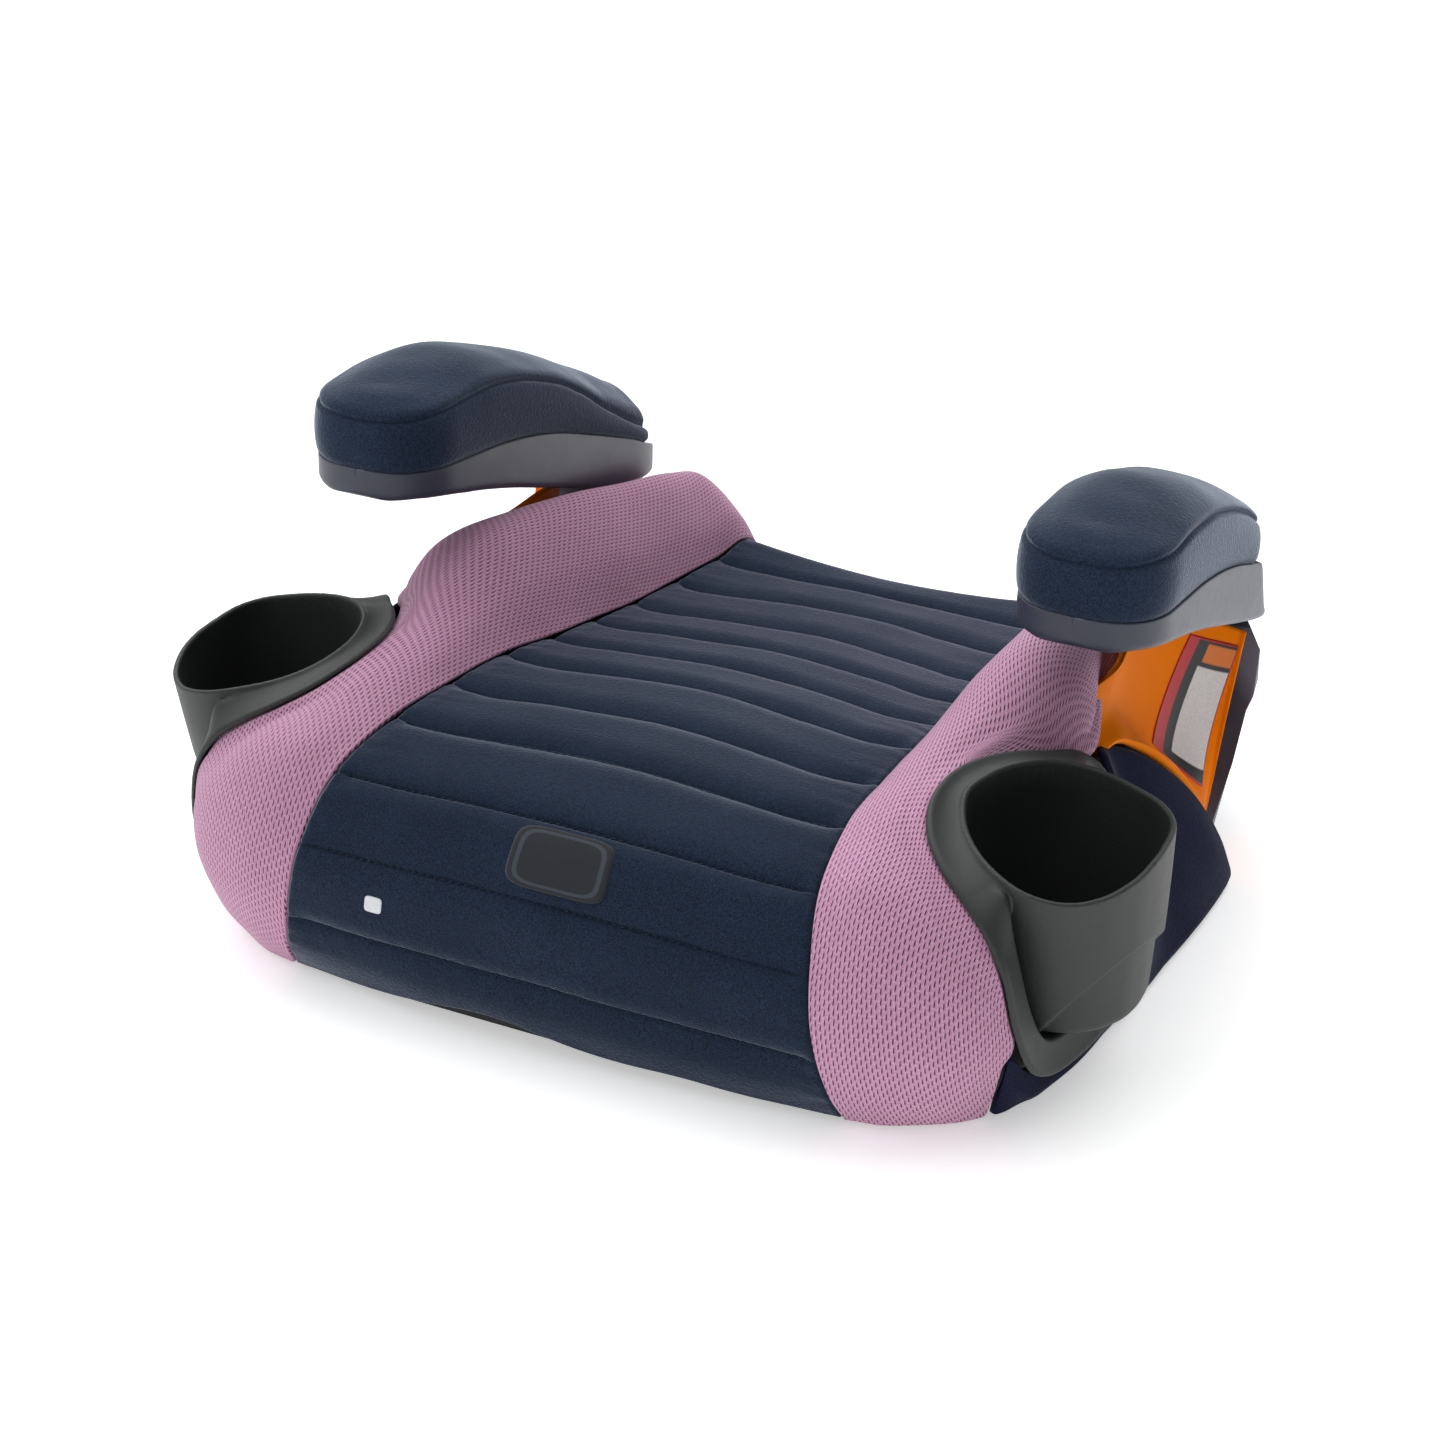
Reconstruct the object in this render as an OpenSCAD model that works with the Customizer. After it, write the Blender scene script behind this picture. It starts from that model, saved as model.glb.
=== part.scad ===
// Backless booster seat: moulded base, padded cover, two cantilevered padded
// armrests over lap-belt guides, and two pull-off cup holders.
// Millimetres. +X is the sitter's left-hand side of the seat as seen from the
// front (right in a front view), +Y is towards the vehicle seat back, +Z is up.
// The origin is on the floor plane under the middle of the overall box.

/* [Cover] */
// Thickness of the cover fabric with its laminated backing
cover_t = 4; // [3:0.5:5]
// Thickness of the foam under the cover
foam_t = 10; // [8:1:11]
// Gap left between neighbouring soft pieces
soft_gap = 0.5; // [0.4:0.1:1]

/* [Armrests] */
// Wall thickness of the armrest shells
arm_wall = 3; // [2.5:0.5:4]
// Thickness of the armrest cover fabric
arm_cover_t = 3; // [2:0.5:4]

/* [Cup holders] */
// Wall thickness of the cup
cup_wall = 2.6; // [2.2:0.2:3.2]
// Half width of the cup mouth across the seat
cup_rx = 37.5; // [36:0.5:38]
// Half length of the cup mouth along the seat
cup_ry = 44; // [42:0.5:45]
// Height of the underside of the cup
cup_bottom = 33; // [30:1:38]
// Thickness of the cup flange
flange_t = 3; // [2.5:0.5:3.5]

/* [Base] */
// Wall thickness of the base moulding
base_wall = 3.5; // [3:0.5:4]
// Distance between the stiffening ribs under the tray
rib_pitch = 40; // [38:1:42]

/* [Fasteners] */
// Shank diameter of the tray screws
tray_screw_d = 4; // [3.5:0.5:4.5]
// Shank diameter of the post screws
post_screw_d = 5; // [4.5:0.5:5.5]
// Radial clearance of a screw in its hole
screw_clear = 0.05; // [0.03:0.01:0.08]

/* [Hidden] */

navy = "#35445c"; mesh_pink = "#a9688f"; dark_navy = "#1b1d33"; slate = "#4b4e5e";
orange_c = "#f59313"; charcoal = "#484a48"; foam_c = "#c9c4b4"; black_c = "#2b2c30"; steel_c = "#b9bcc0";

// ---------- curve and sheet helpers ----------
function cr(a, b, c, d, t) = 0.5 * (2 * b + (c - a) * t + (2 * a - 5 * b + 4 * c - d) * t * t + (3 * b - a - 3 * c + d) * t * t * t);
function cl(i, n) = min(max(i, 0), n - 1);
function at(p, s) = let (n = len(p), i = min(floor(max(s, 0)), n - 2), t = s - i)
  cr(i == 0 ? 2 * p[0] - p[1] : p[i - 1], p[i], p[i + 1], i + 2 > n - 1 ? 2 * p[n - 1] - p[n - 2] : p[i + 2], t);
function loop_at(p, s) = let (n = len(p), i = floor(s), t = s - i)
  cr(p[(i - 1 + n) % n], p[i % n], p[(i + 1) % n], p[(i + 2) % n], t);
function lin(p, x, i = 0) = x >= p[i + 1][0] && i < len(p) - 2 ? lin(p, x, i + 1)
  : p[i][1] + (p[i + 1][1] - p[i][1]) * (x - p[i][0]) / (p[i + 1][0] - p[i][0]);
// height curve through stations [y, z], smooth
function hgt(p, y, i = 0) = y >= p[i + 1][0] && i < len(p) - 2 ? hgt(p, y, i + 1)
  : let (n = len(p), t = (y - p[i][0]) / (p[i + 1][0] - p[i][0]),
         a = i == 0 ? 2 * p[0][1] - p[1][1] : p[i - 1][1], d = i + 2 > n - 1 ? 2 * p[n - 1][1] - p[n - 2][1] : p[i + 2][1])
    cr(a, p[i][1], p[i + 1][1], d, t);
function unit(v) = v / max(norm(v), 1e-9);
// point on a sheet of stations, u across a station, v along them, d inward
function sheet(tab, u, v) = let (n = len(tab), i = min(floor(max(v, 0)), n - 2), t = v - i,
  b = at(tab[i], u), c = at(tab[i + 1], u),
  a = i == 0 ? 2 * b - c : at(tab[i - 1], u), d = i + 2 > n - 1 ? 2 * c - b : at(tab[i + 2], u))
  cr(a, b, c, d, t);
function nrm(tab, u, v) = let (e = 0.05, m = len(tab[0]) - 1, n = len(tab) - 1,
  du = sheet(tab, min(u + e, m), v) - sheet(tab, max(u - e, 0), v),
  dv = sheet(tab, u, min(v + e, n)) - sheet(tab, u, max(v - e, 0))) unit(cross(du, dv));
function skin(tab, us, vs, d) = [for (v = vs) [for (u = us) sheet(tab, u, v) + nrm(tab, u, v) * d]];
function steps(a, b, n) = [for (i = [0:n]) a + (b - a) * i / n];

// closed solid between two equal grids of points: top is outside, bot is inside
module slab(top, bot, flip = false) {
  n = len(top); m = len(top[0]);
  pts = concat([for (r = top) for (p = r) p], [for (r = bot) for (p = r) p]);
  o = n * m;
  f = concat(
    [for (i = [0:n - 2]) for (j = [0:m - 2]) each [[i * m + j, (i + 1) * m + j + 1, i * m + j + 1], [i * m + j, (i + 1) * m + j, (i + 1) * m + j + 1]]],
    [for (i = [0:n - 2]) for (j = [0:m - 2]) each [[o + i * m + j, o + i * m + j + 1, o + (i + 1) * m + j + 1], [o + i * m + j, o + (i + 1) * m + j + 1, o + (i + 1) * m + j]]],
    [for (j = [0:m - 2]) each [[j, j + 1, o + j + 1], [j, o + j + 1, o + j]]],
    [for (j = [0:m - 2]) let (a = (n - 1) * m + j) each [[a, o + a + 1, a + 1], [a, o + a, o + a + 1]]],
    [for (i = [0:n - 2]) let (a = i * m) each [[a, o + a, o + a + m], [a, o + a + m, a + m]]],
    [for (i = [0:n - 2]) let (a = i * m + m - 1) each [[a, o + a + m, o + a], [a, a + m, o + a + m]]]);
  polyhedron(pts, flip ? [for (t = f) [t[0], t[2], t[1]]] : f);
}
// closed solid through a list of rings of points, each ring closed
module loft(rings, flip = false) {
  n = len(rings); m = len(rings[0]);
  pts = [for (r = rings) for (p = r) p];
  c0 = n * m; c1 = n * m + 1;
  function mid(r, i = 0, s = [0, 0, 0]) = i == len(r) ? s / len(r) : mid(r, i + 1, s + r[i]);
  f = concat(
    [for (i = [0:n - 2]) for (j = [0:m - 1]) let (k = (j + 1) % m) each [[i * m + j, i * m + k, (i + 1) * m + k], [i * m + j, (i + 1) * m + k, (i + 1) * m + j]]],
    [for (j = [0:m - 1]) [c0, (j + 1) % m, j]],
    [for (j = [0:m - 1]) [c1, (n - 1) * m + j, (n - 1) * m + (j + 1) % m]]);
  polyhedron(concat(pts, [mid(rings[0]), mid(rings[n - 1])]), flip ? [for (t = f) [t[0], t[2], t[1]]] : f);
}
module both(left) { if (left) mirror([1, 0, 0]) children(); else children(); }

// ---------- shape of the cover, station by station from the front hem to the rear hem ----------
// each station: seam, inner flank, crest, outer shoulder, outer edge
bolster = [
  [[127, -182, 2.5], [142, -179, 2.5], [156, -171, 2.5], [168, -162, 2.5], [176, -153, 2.5]],
  [[123, -193, 21], [142, -190, 21], [159, -183, 21], [172, -172, 21], [181, -158, 21]],
  [[118, -199, 46], [140, -197, 47], [161, -190, 47], [176, -179, 46], [185, -164, 42]],
  [[114, -195, 70], [136, -193, 76], [157, -187, 77], [173, -178, 73], [183, -168, 64]],
  [[108, -175, 96], [126, -174, 102], [144, -170, 101], [157, -167, 95.5], [167, -166, 88]],
  [[103, -136, 106], [112, -138, 110.5], [121, -138, 113.8], [128, -138, 114.2], [135, -137, 110]],
  [[100, -95, 106], [108, -95, 114], [116, -95, 118], [124, -95, 119], [131, -95, 116]],
  [[98, -51, 103], [110, -53, 118], [125, -54, 126], [139, -54, 123.5], [149.5, -54, 113]],
  [[95, -13, 97], [109, -13, 123], [128, -15, 139], [152, -20, 132], [168, -27, 106]],
  [[94, 26, 91], [106, 26, 118], [125, 26, 138], [147, 23, 131], [157, 16, 111]],
  [[93, 66, 85], [103, 66, 111], [121, 66, 134], [136, 64, 127], [149, 60, 108]],
  [[93, 112, 80], [102, 112, 103], [118, 112, 125], [131, 111, 118], [143, 108, 101]],
  [[91, 155, 77], [99, 155, 96], [116, 155, 116], [130, 155, 108], [140, 153, 92]],
  [[89, 182, 78], [97, 182, 92], [114, 182, 108], [128, 182, 101], [138, 181, 86]],
  [[88, 197, 67], [96, 198, 76], [112, 198, 87], [126, 198, 82], [136, 196, 73]],
  [[88, 199, 40], [98, 200, 42], [112, 200, 44], [126, 200, 44], [136, 198, 44]]];
// middle of each station of the centre panel: [y, z] and the rise of the crown over the seam
centre = [[-192, 5], [-199, 23], [-201, 47], [-197.5, 72], [-177, 98.5], [-136, 108.5], [-95, 108.5], [-51, 105],
  [-13, 99], [26, 93], [66, 86], [112, 79.5], [155, 73.5], [183, 70], [197, 60], [199, 38]];
panel = [for (i = [0:15]) let (a = bolster[i][0], c = [0, centre[i][0], centre[i][1]])
  [[-a[0], a[1], a[2]], [-a[0] / 2, (a[1] + 3 * c[1]) / 4, (a[2] + 3 * c[2]) / 4], c, [a[0] / 2, (a[1] + 3 * c[1]) / 4, (a[2] + 3 * c[2]) / 4], a]];
// side panel: upper edge, middle, hem
side = [
  [[182, -158, 24], [180, -155, 13], [178, -151, 2]],
  [[186, -163, 37], [184, -155, 20], [181, -146, 2]],
  [[188, -158, 29], [187, -149, 16], [184, -137, 2]],
  [[190, -150, 18], [189, -141, 10], [187, -130, 2]],
  [[192, -137, 13], [191, -130, 8], [189, -120, 2]],
  [[196, -112, 10], [195, -106, 6], [192, -98, 2]],
  [[199, -82, 12], [198, -76, 7], [196, -70, 2]],
  [[201, -58, 26], [201, -52, 14], [199, -46, 2]],
  [[197, -40, 52], [201, -34, 26], [201, -28, 2]],
  [[186, -31, 84], [197, -22, 42], [202, -14, 2]],
  [[172, -20, 102], [190, -10, 52], [203, -1, 2]],
  [[166, -4, 100], [188, 4, 52], [204, 12, 2]],
  [[174, 20, 88], [193, 24, 46], [205, 28, 2]],
  [[183, 42, 72], [198, 44, 38], [205.5, 46, 2]],
  [[191, 61, 52], [202, 61, 28], [205.5, 62, 2]],
  [[199, 75, 30], [204, 75, 16], [205, 76, 2]],
  [[203, 85, 10], [204, 86, 6], [204, 87, 2]]];
// belt guide: top edge, hollow, lower edge
guide = [
  [[161.5, 10, 112], [163, 8, 105], [169, 6, 98]],
  [[159, 28, 122], [160, 25, 104], [173, 23, 89]],
  [[155.5, 54, 123], [159, 52, 86], [181, 45, 73]],
  [[154, 82, 125], [160, 80, 66], [189, 66, 50]],
  [[160, 108, 118], [166, 99, 54], [193, 81, 27]],
  [[173, 126, 109], [175, 114, 50], [188, 99, 6]],
  [[186, 137, 102], [183, 126, 54], [178, 119, 3]]];

module strip(tab, n, m, a, b, flip = false, u0 = 0, u1 = 4) {
  us = steps(u0, u1, m); vs = steps(0, len(tab) - 1, n);
  slab(skin(tab, us, vs, a), skin(tab, us, vs, b), flip);
}

module centre_cover() { color(navy) strip(panel, 30, 8, 0, -cover_t, u0 = 0.01, u1 = 3.99); }
module seat_foam() { color(foam_c) { us = steps(0.06, 3.94, 4); vs = steps(0.9, 15, 15); slab(skin(panel, us, vs, -cover_t - soft_gap - 1.3), skin(panel, us, vs, -cover_t - foam_t)); } }
module bolster_cover(left) { both(left) color(mesh_pink) strip(bolster, 30, 8, 0, -cover_t, u0 = 0.04, u1 = 4); }
module bolster_foam(left) { both(left) color(foam_c) strip(bolster, 15, 4, -cover_t - soft_gap - 0.7, -cover_t - foam_t, u0 = 0.3, u1 = 3.8); }
module side_panel(left) { both(left) color(dark_navy) strip(side, 32, 4, 0, -cover_t, u0 = 0, u1 = 2); }
module cover_patch() { color(dark_navy) { us = steps(1.67, 2.47, 4); vs = steps(3.18, 3.92, 4); slab(skin(panel, us, vs, 1.4), skin(panel, us, vs, 0.3)); } }
module cover_tab() { color("white") { us = steps(0.64, 0.78, 2); vs = steps(2.15, 2.45, 2); slab(skin(panel, us, vs, 0.9), skin(panel, us, vs, 0.3)); } }
module belt_guide(left) { both(left) color(orange_c) strip(guide, 18, 6, 0, -3, u0 = 0, u1 = 2); }
// the label is a parallelogram in the hollow of the guide
function label_uv(t, w) = [0.26 + w * (0.74 + 0.38 * t), 4.41 + 1.44 * t + w * (-1.21 + 0.56 * t)];
function label_face(d) = [for (t = steps(0, 1, 6)) [for (w = steps(0, 1, 5)) let (q = label_uv(t, w)) sheet(guide, q[0], q[1]) + nrm(guide, q[0], q[1]) * d]];
module guide_label(left) { both(left) color("white") slab(label_face(1.5), label_face(1)); }

// ---------- armrests: a long tapering boat shape over the belt guide ----------
arm_x = 165; arm_hw = 32;
arm_top = [[-66, 181], [-46, 180], [-20, 178], [17, 174], [57, 165.5], [98, 152], [140, 137], [176, 122], [196, 116]];
arm_bot = [[-66, 167.5], [-50, 167], [-20, 160.5], [17, 150.5], [54, 138.5], [89, 127], [120, 117.5], [150, 111], [186, 106.5], [200, 105.5]];
pad_seam = [[-66, 204], [-50, 206], [-18, 207], [17, 203], [51, 194], [81, 182], [120, 162], [153, 145], [176, 133]];
pad_top = [[-66, 206], [-54, 207.5], [-40, 211.5], [-18, 216.5], [8, 216.5], [38, 209], [66, 199], [95, 186], [120, 174], [142, 160], [160, 147], [178, 133]];
// the outer rear corner is swept inwards along a slanting line
function swept(x, y, lim) = min(x, (lim - 0.43 * y) / 0.9);
// centre line stations: y of the middle, half width factor, skew of the end line
function arm_st(s) = let (f = pow(1 - pow(1 - min(s / 0.15, 1), 2.5), 0.8), g = 1 - pow(max(0, (s - 0.8) / 0.2), 3) * 0.34)
  [-65 + 233 * s, sqrt(f) * g, -0.6 * pow(max(0, (s - 0.25) / 0.75), 1.5)];
// ring of the armrest at station s: inset d, lower and upper height curves, corner softness q
function arm_ring(s, d, lo, hi, m, q, sx = 1) = let (st = arm_st(s), w = max((arm_hw * sx) * st[1] - d, 0.6))
  [for (j = [0:m - 1]) let (a = 360 * j / m, cx = sign(cos(a)) * pow(abs(cos(a)), q), cz = sign(sin(a)) * pow(abs(sin(a)), q),
    x = w * cx, y = st[0] + st[2] * x)
    [swept(arm_x + x, y, 223.5 + 3.5 * (1 - cz) - d), y, let (l = hgt(lo, y) + d, h = hgt(hi, y) - d) (l + h) / 2 + (h - l) / 2 * cz]];
svals = concat([0.002, 0.01, 0.03, 0.065, 0.11, 0.165], steps(0.24, 0.85, 8), [0.91, 0.96, 1]);
pvals = concat([0.006, 0.02, 0.045, 0.08, 0.125, 0.18], steps(0.26, 0.84, 7), [0.89, 0.935]);
function up(t, dz) = [for (p = t) [p[0], p[1] + dz]];
// cross-section of the pad: flat base, upright side band, seam, crowned top
function pad_ring(s, d, m = 0) = let (st = arm_st(s), w = max((arm_hw + 0.6) * st[1] - d - 0.6, 0.5), e = s < 0.1 ? 1 - pow(1 - s / 0.1, 2) : 1, e2 = s > 0.75 ? 1 - pow((s - 0.75) / 0.2, 2) * 0.5 : 1)
  [for (q = [[-0.9, 0, 0], [-0.99, 0.1, 0], [-1.03, 0.5, 0], [-1, 0.93, 0], [-0.93, 1, 0.22], [-0.66, 1, 0.64], [-0.34, 1, 0.91], [0, 1, 1],
    [0.34, 1, 0.91], [0.66, 1, 0.64], [0.93, 1, 0.22], [1, 0.93, 0], [1.03, 0.5, 0], [0.99, 0.1, 0], [0.9, 0, 0], [0, 0, 0]])
    let (x = w * q[0], y = st[0] + 3 * 0 + st[2] * x, b = hgt(arm_top, y) + 0.4 + d * 0.6, sm = max(hgt(pad_seam, y) - d, b + 1), tp = max(hgt(pad_top, y) - d, sm + 0.5))
    [swept(arm_x + x, y, 218 - d), y, b + (sm - b) * q[1] * (0.55 + 0.45 * e) + (tp - sm) * q[2] * (0.3 + 0.7 * e)]];

module armrest_shell(left) {
  both(left) color(slate) difference() {
    loft([for (s = svals) arm_ring(s, 0, arm_bot, arm_top, 20, 0.42)]);
    // open tray under the pad
    loft([for (s = concat([0.05, 0.08, 0.12, 0.18], steps(0.25, 0.72, 6))) [for (p = arm_ring(s, arm_wall, arm_bot, up(arm_top, 12), 16, 0.42)) p]]);
  }
}
module armrest_foam(left) { both(left) color(foam_c) loft([for (s = [0.02, 0.05, 0.09, 0.14, 0.2, 0.3, 0.4, 0.5, 0.6, 0.7, 0.78, 0.86]) pad_ring(s, arm_cover_t + 1)], true); }
module armrest_cover(left) {
  both(left) color(navy) difference() {
    loft([for (s = pvals) pad_ring(s, 0)], true);
    loft([for (s = [0.014, 0.045, 0.09, 0.14, 0.2, 0.3, 0.4, 0.5, 0.6, 0.7, 0.78, 0.88]) pad_ring(s, arm_cover_t)], true);
  }
}

// ---------- rear posts ----------
module x_prism(yz, x0, x1) { translate([x0, 0, 0]) rotate([90, 0, 90]) linear_extrude(height = x1 - x0) polygon(yz); }
module y_prism(xz, y0, y1) { translate([0, y1, 0]) rotate([90, 0, 0]) linear_extrude(height = y1 - y0) polygon(xz); }
arm_screw_at = [[157, 158], [157, 174]];
post_screw_at = [[158, 22], [158, 62], [168, 42]];
module side_post(left) {
  both(left) color(slate) difference() {
    intersection() {
      y_prism([[150.3, 0], [181, 0], [183, 14], [187, 38], [190, 60], [193, 71], [193.5, 80], [192, 91], [188, 101], [184, 105], [150.3, 105]], 118, 190);
      x_prism([[128, 0], [142, 60], [145.5, 100], [147, 105], [182, 105], [187, 90], [190, 30], [190, 0]], 150, 191);
      // the rear outer corner is swept like the armrest above it
      rotate([0, 0, 25.5]) y_prism([[60, 0], [222, 0], [223, 8], [226, 30], [229.5, 48], [231.5, 61], [236, 75], [235, 91], [230, 101], [227, 106], [60, 106]], -60, 200);
    }
    for (p = arm_screw_at) translate([p[0], p[1], 0]) {
      translate([0, 0, -1]) cylinder(d = 11, h = 81, $fn = 48);
      translate([0, 0, 70]) cylinder(d = post_screw_d + 2 * screw_clear, h = 40, $fn = 48);
    }
    for (p = post_screw_at) translate([140, p[0], p[1]]) rotate([0, 90, 0]) cylinder(d = post_screw_d + 2 * screw_clear, h = 28, $fn = 48);
    // weight-saving pockets in the hidden back
    for (z = [12, 52]) translate([168, 150, z]) cube([3, 14, 28]);
  }
}
module armrest_screws() {
  color(steel_c) for (k = [0, 1]) both(k == 1) for (p = arm_screw_at) translate([p[0], p[1], 0]) {
    translate([0, 0, 77]) cylinder(d = 9.5, h = 3, $fn = 48);
    translate([0, 0, 79]) cylinder(d = post_screw_d, h = 34, $fn = 48);
  }
}
module post_screws() {
  color(steel_c) for (k = [0, 1]) both(k == 1) for (p = post_screw_at) translate([0, p[0], p[1]]) rotate([0, 90, 0]) {
    translate([0, 0, 143.5]) cylinder(d = 9.5, h = 3, $fn = 48);
    translate([0, 0, 146]) cylinder(d = post_screw_d, h = 20, $fn = 48);
  }
}

// ---------- base moulding ----------
core_yz = [[-180, 0], [-181, 12], [-178, 22], [-182, 45], [-178, 65], [-163, 81], [-136, 89], [-95, 89], [-51, 85.5], [-13, 79.5], [26, 73.5], [66, 66.5], [112, 60.5], [155, 55], [172, 53], [178, 40], [185, 32], [194, 28], [194, 0]];
wing_yz = [[-155, 0], [-158, 18], [-170, 45], [-167, 68], [-150, 80], [-136, 88], [-95, 92], [-60, 97], [-30, 109], [0, 113], [36, 108], [75, 100], [115, 94], [155, 85], [170, 78], [178, 64], [178, 44], [190, 36], [192, 0]];
wing_xz = [[89, 0], [89, 52], [106, 62], [115, 82], [121, 100], [127, 113], [133, 112], [139, 100], [145.5, 86], [150, 72], [150, 0]];
beam_xy = [[149.9, -152], [156, -152], [163, -147], [171, -138], [178, -120], [184, -92], [189, -60], [194, -22], [197, 10], [198.5, 40], [198.5, 78], [149.9, 78]];
beam_yz = [[-152, 0], [-151, 34], [-146, 46], [-130, 52], [-60, 62], [-30, 76], [-6, 78], [20, 58], [44, 38], [62, 20], [74, 0]];
beam_xz = [[149, 0], [199, 0], [194, 20], [184, 50], [172, 74], [164, 84], [149, 84]];
function shrink(p, a, b, dz) = [for (q = p) [q[0] < 0 ? q[0] + a : q[0] - b, q[1] <= 0 ? -1 : q[1] - dz]];
pocket_xy = [[127, -133], [130, -147], [142, -162], [156, -170], [210, -170], [210, -34], [176, -34], [152, -44], [136, -62], [127, -84]];
pocket_in = [[123.5, -132.5], [126.5, -149], [139.5, -164.5], [152, -173.5], [214, -173.5], [214, -30.5], [175, -30.5], [150, -40.5], [133, -59], [123.5, -83]];
tray_pts = [[-100, -140], [100, -140], [-100, 150], [100, 150], [-60, 20], [60, 20]];
module base_outer() {
  x_prism(core_yz, -90, 90);
  for (k = [0, 1]) both(k == 1) {
    intersection() { x_prism(wing_yz, 89, 150); y_prism(wing_xz, -175, 196); }
    intersection() { linear_extrude(height = 100) polygon(beam_xy); x_prism(beam_yz, 149, 200); y_prism(beam_xz, -165, 80); }
  }
}
module base_inner() {
  w = base_wall;
  x_prism(shrink(core_yz, w, w, w), -91, 91);
  for (k = [0, 1]) both(k == 1) {
    intersection() { x_prism(shrink(wing_yz, w, w, w + 1), 85, 146.5); y_prism([for (q = wing_xz) [q[0] < 100 ? 88 : q[0] < 127 ? q[0] + 3 : q[0] - 3.5, q[1] <= 0 ? -1 : q[1] < 55 ? q[1] : q[1] - w]], -171.5, 191); }
    intersection() {
      translate([0, 0, -1]) linear_extrude(height = 100) polygon([for (q = beam_xy) [q[0] < 150 ? 145 : q[0] - 3.5, q[1] < -150 ? q[1] + 3.5 : q[1] > 70 ? q[1] - 3.5 : q[1]]]);
      x_prism(shrink(beam_yz, w, w, w), 144, 200); y_prism([for (q = beam_xz) [q[0] < 150 ? 144 : q[0] - 3, q[1] <= 0 ? -1 : q[1] - w]], -165, 80);
    }
  }
}
module base_shell() {
  color(black_c) difference() {
    union() {
      difference() {
        base_outer();
        difference() {
          base_inner();
          for (k = [0, 1]) both(k == 1) translate([0, 0, 21.5]) linear_extrude(height = 110) polygon(pocket_in);
          // walls that stiffen the deck
          for (x = [-45, 0, 45]) translate([x - 1.5, -180, 10]) cube([3, 362, 120]);
          for (y = [-100, -40, 20, 80, 135]) translate([-90, y - 1.5, 10]) cube([180, 3, 120]);
          for (p = tray_pts) translate([p[0], p[1], 7.5]) cylinder(d = 11, h = 100, $fn = 48);
        }
      }
    }
    for (k = [0, 1]) both(k == 1) translate([0, 0, 25]) linear_extrude(height = 110) polygon(pocket_xy);
    for (p = tray_pts) translate([p[0], p[1], 7]) cylinder(d = tray_screw_d - 0.2, h = 20, $fn = 48);
    for (k = [0, 1]) both(k == 1) {
      for (p = post_screw_at) translate([140, p[0], p[1]]) rotate([0, 90, 0]) cylinder(d = post_screw_d + 2 * screw_clear, h = 20, $fn = 48);
      for (y = [-127.5, -88.5]) translate([118, y, 70]) rotate([0, 90, 0]) cylinder(d = tray_screw_d + 2 * screw_clear, h = 20, $fn = 48);
    }
  }
}
module base_tray() {
  color(black_c) difference() {
    union() {
      translate([0, 0, 4]) linear_extrude(height = 3) polygon([[-84, -164], [84, -164], [84, -149], [138, -149], [144, -142],
        [144, 172], [-144, 172], [-144, -142], [-138, -149], [-84, -149]]);
      for (x = [for (k = [0:7]) (k - 3.5) * rib_pitch]) translate([x - 1.25, -147, 1]) cube([2.5, 317, 3.5]);
      for (y = concat([for (k = [0:7]) -146 + k * rib_pitch], [168])) translate([-141, y - 1.25, 1]) cube([282, 2.5, 3.5]);
      for (p = tray_pts) translate([p[0], p[1], 1]) cylinder(d = 14, h = 4, $fn = 48);
    }
    for (p = tray_pts) {
      translate([p[0], p[1], 0]) cylinder(d = 8.6, h = 3.6, $fn = 48);
      translate([p[0], p[1], 0]) cylinder(d = tray_screw_d + 2 * screw_clear, h = 20, $fn = 48);
    }
  }
}
module tray_screws() {
  color(steel_c) for (p = tray_pts) translate([p[0], p[1], 0]) {
    translate([0, 0, 1.4]) cylinder(d = 8, h = 2.2, $fn = 48);
    translate([0, 0, 3]) cylinder(d = tray_screw_d, h = 18, $fn = 48);
  }
}
module foot_pads() {
  color("#202124") for (k = [0, 1]) both(k == 1) for (p = [[120, -126], [120, 154]]) translate([p[0], p[1], 0]) difference() { cylinder(d = 22, h = 3.8, $fn = 64); translate([0, 0, -1]) cylinder(d = 8, h = 2, $fn = 48); }
}

// ---------- cup holders ----------
cx = 181.5; cy = -111;
// inner edge of the mouth, round from the outside over the rear, the inner side and the front:
// across and along as shares of the half width and half length, and the height
rim = [[1, 0.3, 109], [0.95, 0.66, 110.5], [0.76, 0.875, 112.5], [0.47, 0.955, 115], [0.12, 1, 117.5], [-0.23, 1, 119],
  [-0.52, 0.89, 120], [-0.76, 0.66, 120.5], [-0.93, 0.34, 120.5], [-1, -0.02, 119.5], [-0.87, -0.36, 115.5], [-0.63, -0.64, 112],
  [-0.31, -0.875, 109.5], [0.07, -1, 106.5], [0.44, -0.92, 104], [0.73, -0.68, 104], [0.92, -0.34, 106], [0.99, -0.02, 108]];
rim_pts = [for (p = rim) [cx + p[0] * cup_rx, cy + p[1] * cup_ry, p[2]]];
// point round the mouth, pushed outwards by d
function mouth(s, d) = let (n = len(rim_pts), p = loop_at(rim_pts, (s + n) % n), q = loop_at(rim_pts, (s + 0.1 + n) % n), t = unit([q[0] - p[0], q[1] - p[1]]))
  [p[0] + t[1] * d, p[1] - t[0] * d, p[2]];
// wall ring: k from 0 at the rim to 1 at the bottom, d inwards from the outer face
function cup_ring(k, d, n = 36, lift = 0) = [for (j = [0:n - 1]) let (p = mouth(len(rim_pts) * j / n, cup_wall - d))
  [cx + (p[0] - cx) * (1 - 0.06 * k * k), -67 + (p[1] + 67) * (1 - 0.25 * k), p[2] + (cup_bottom - p[2]) * k + lift]];
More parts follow.
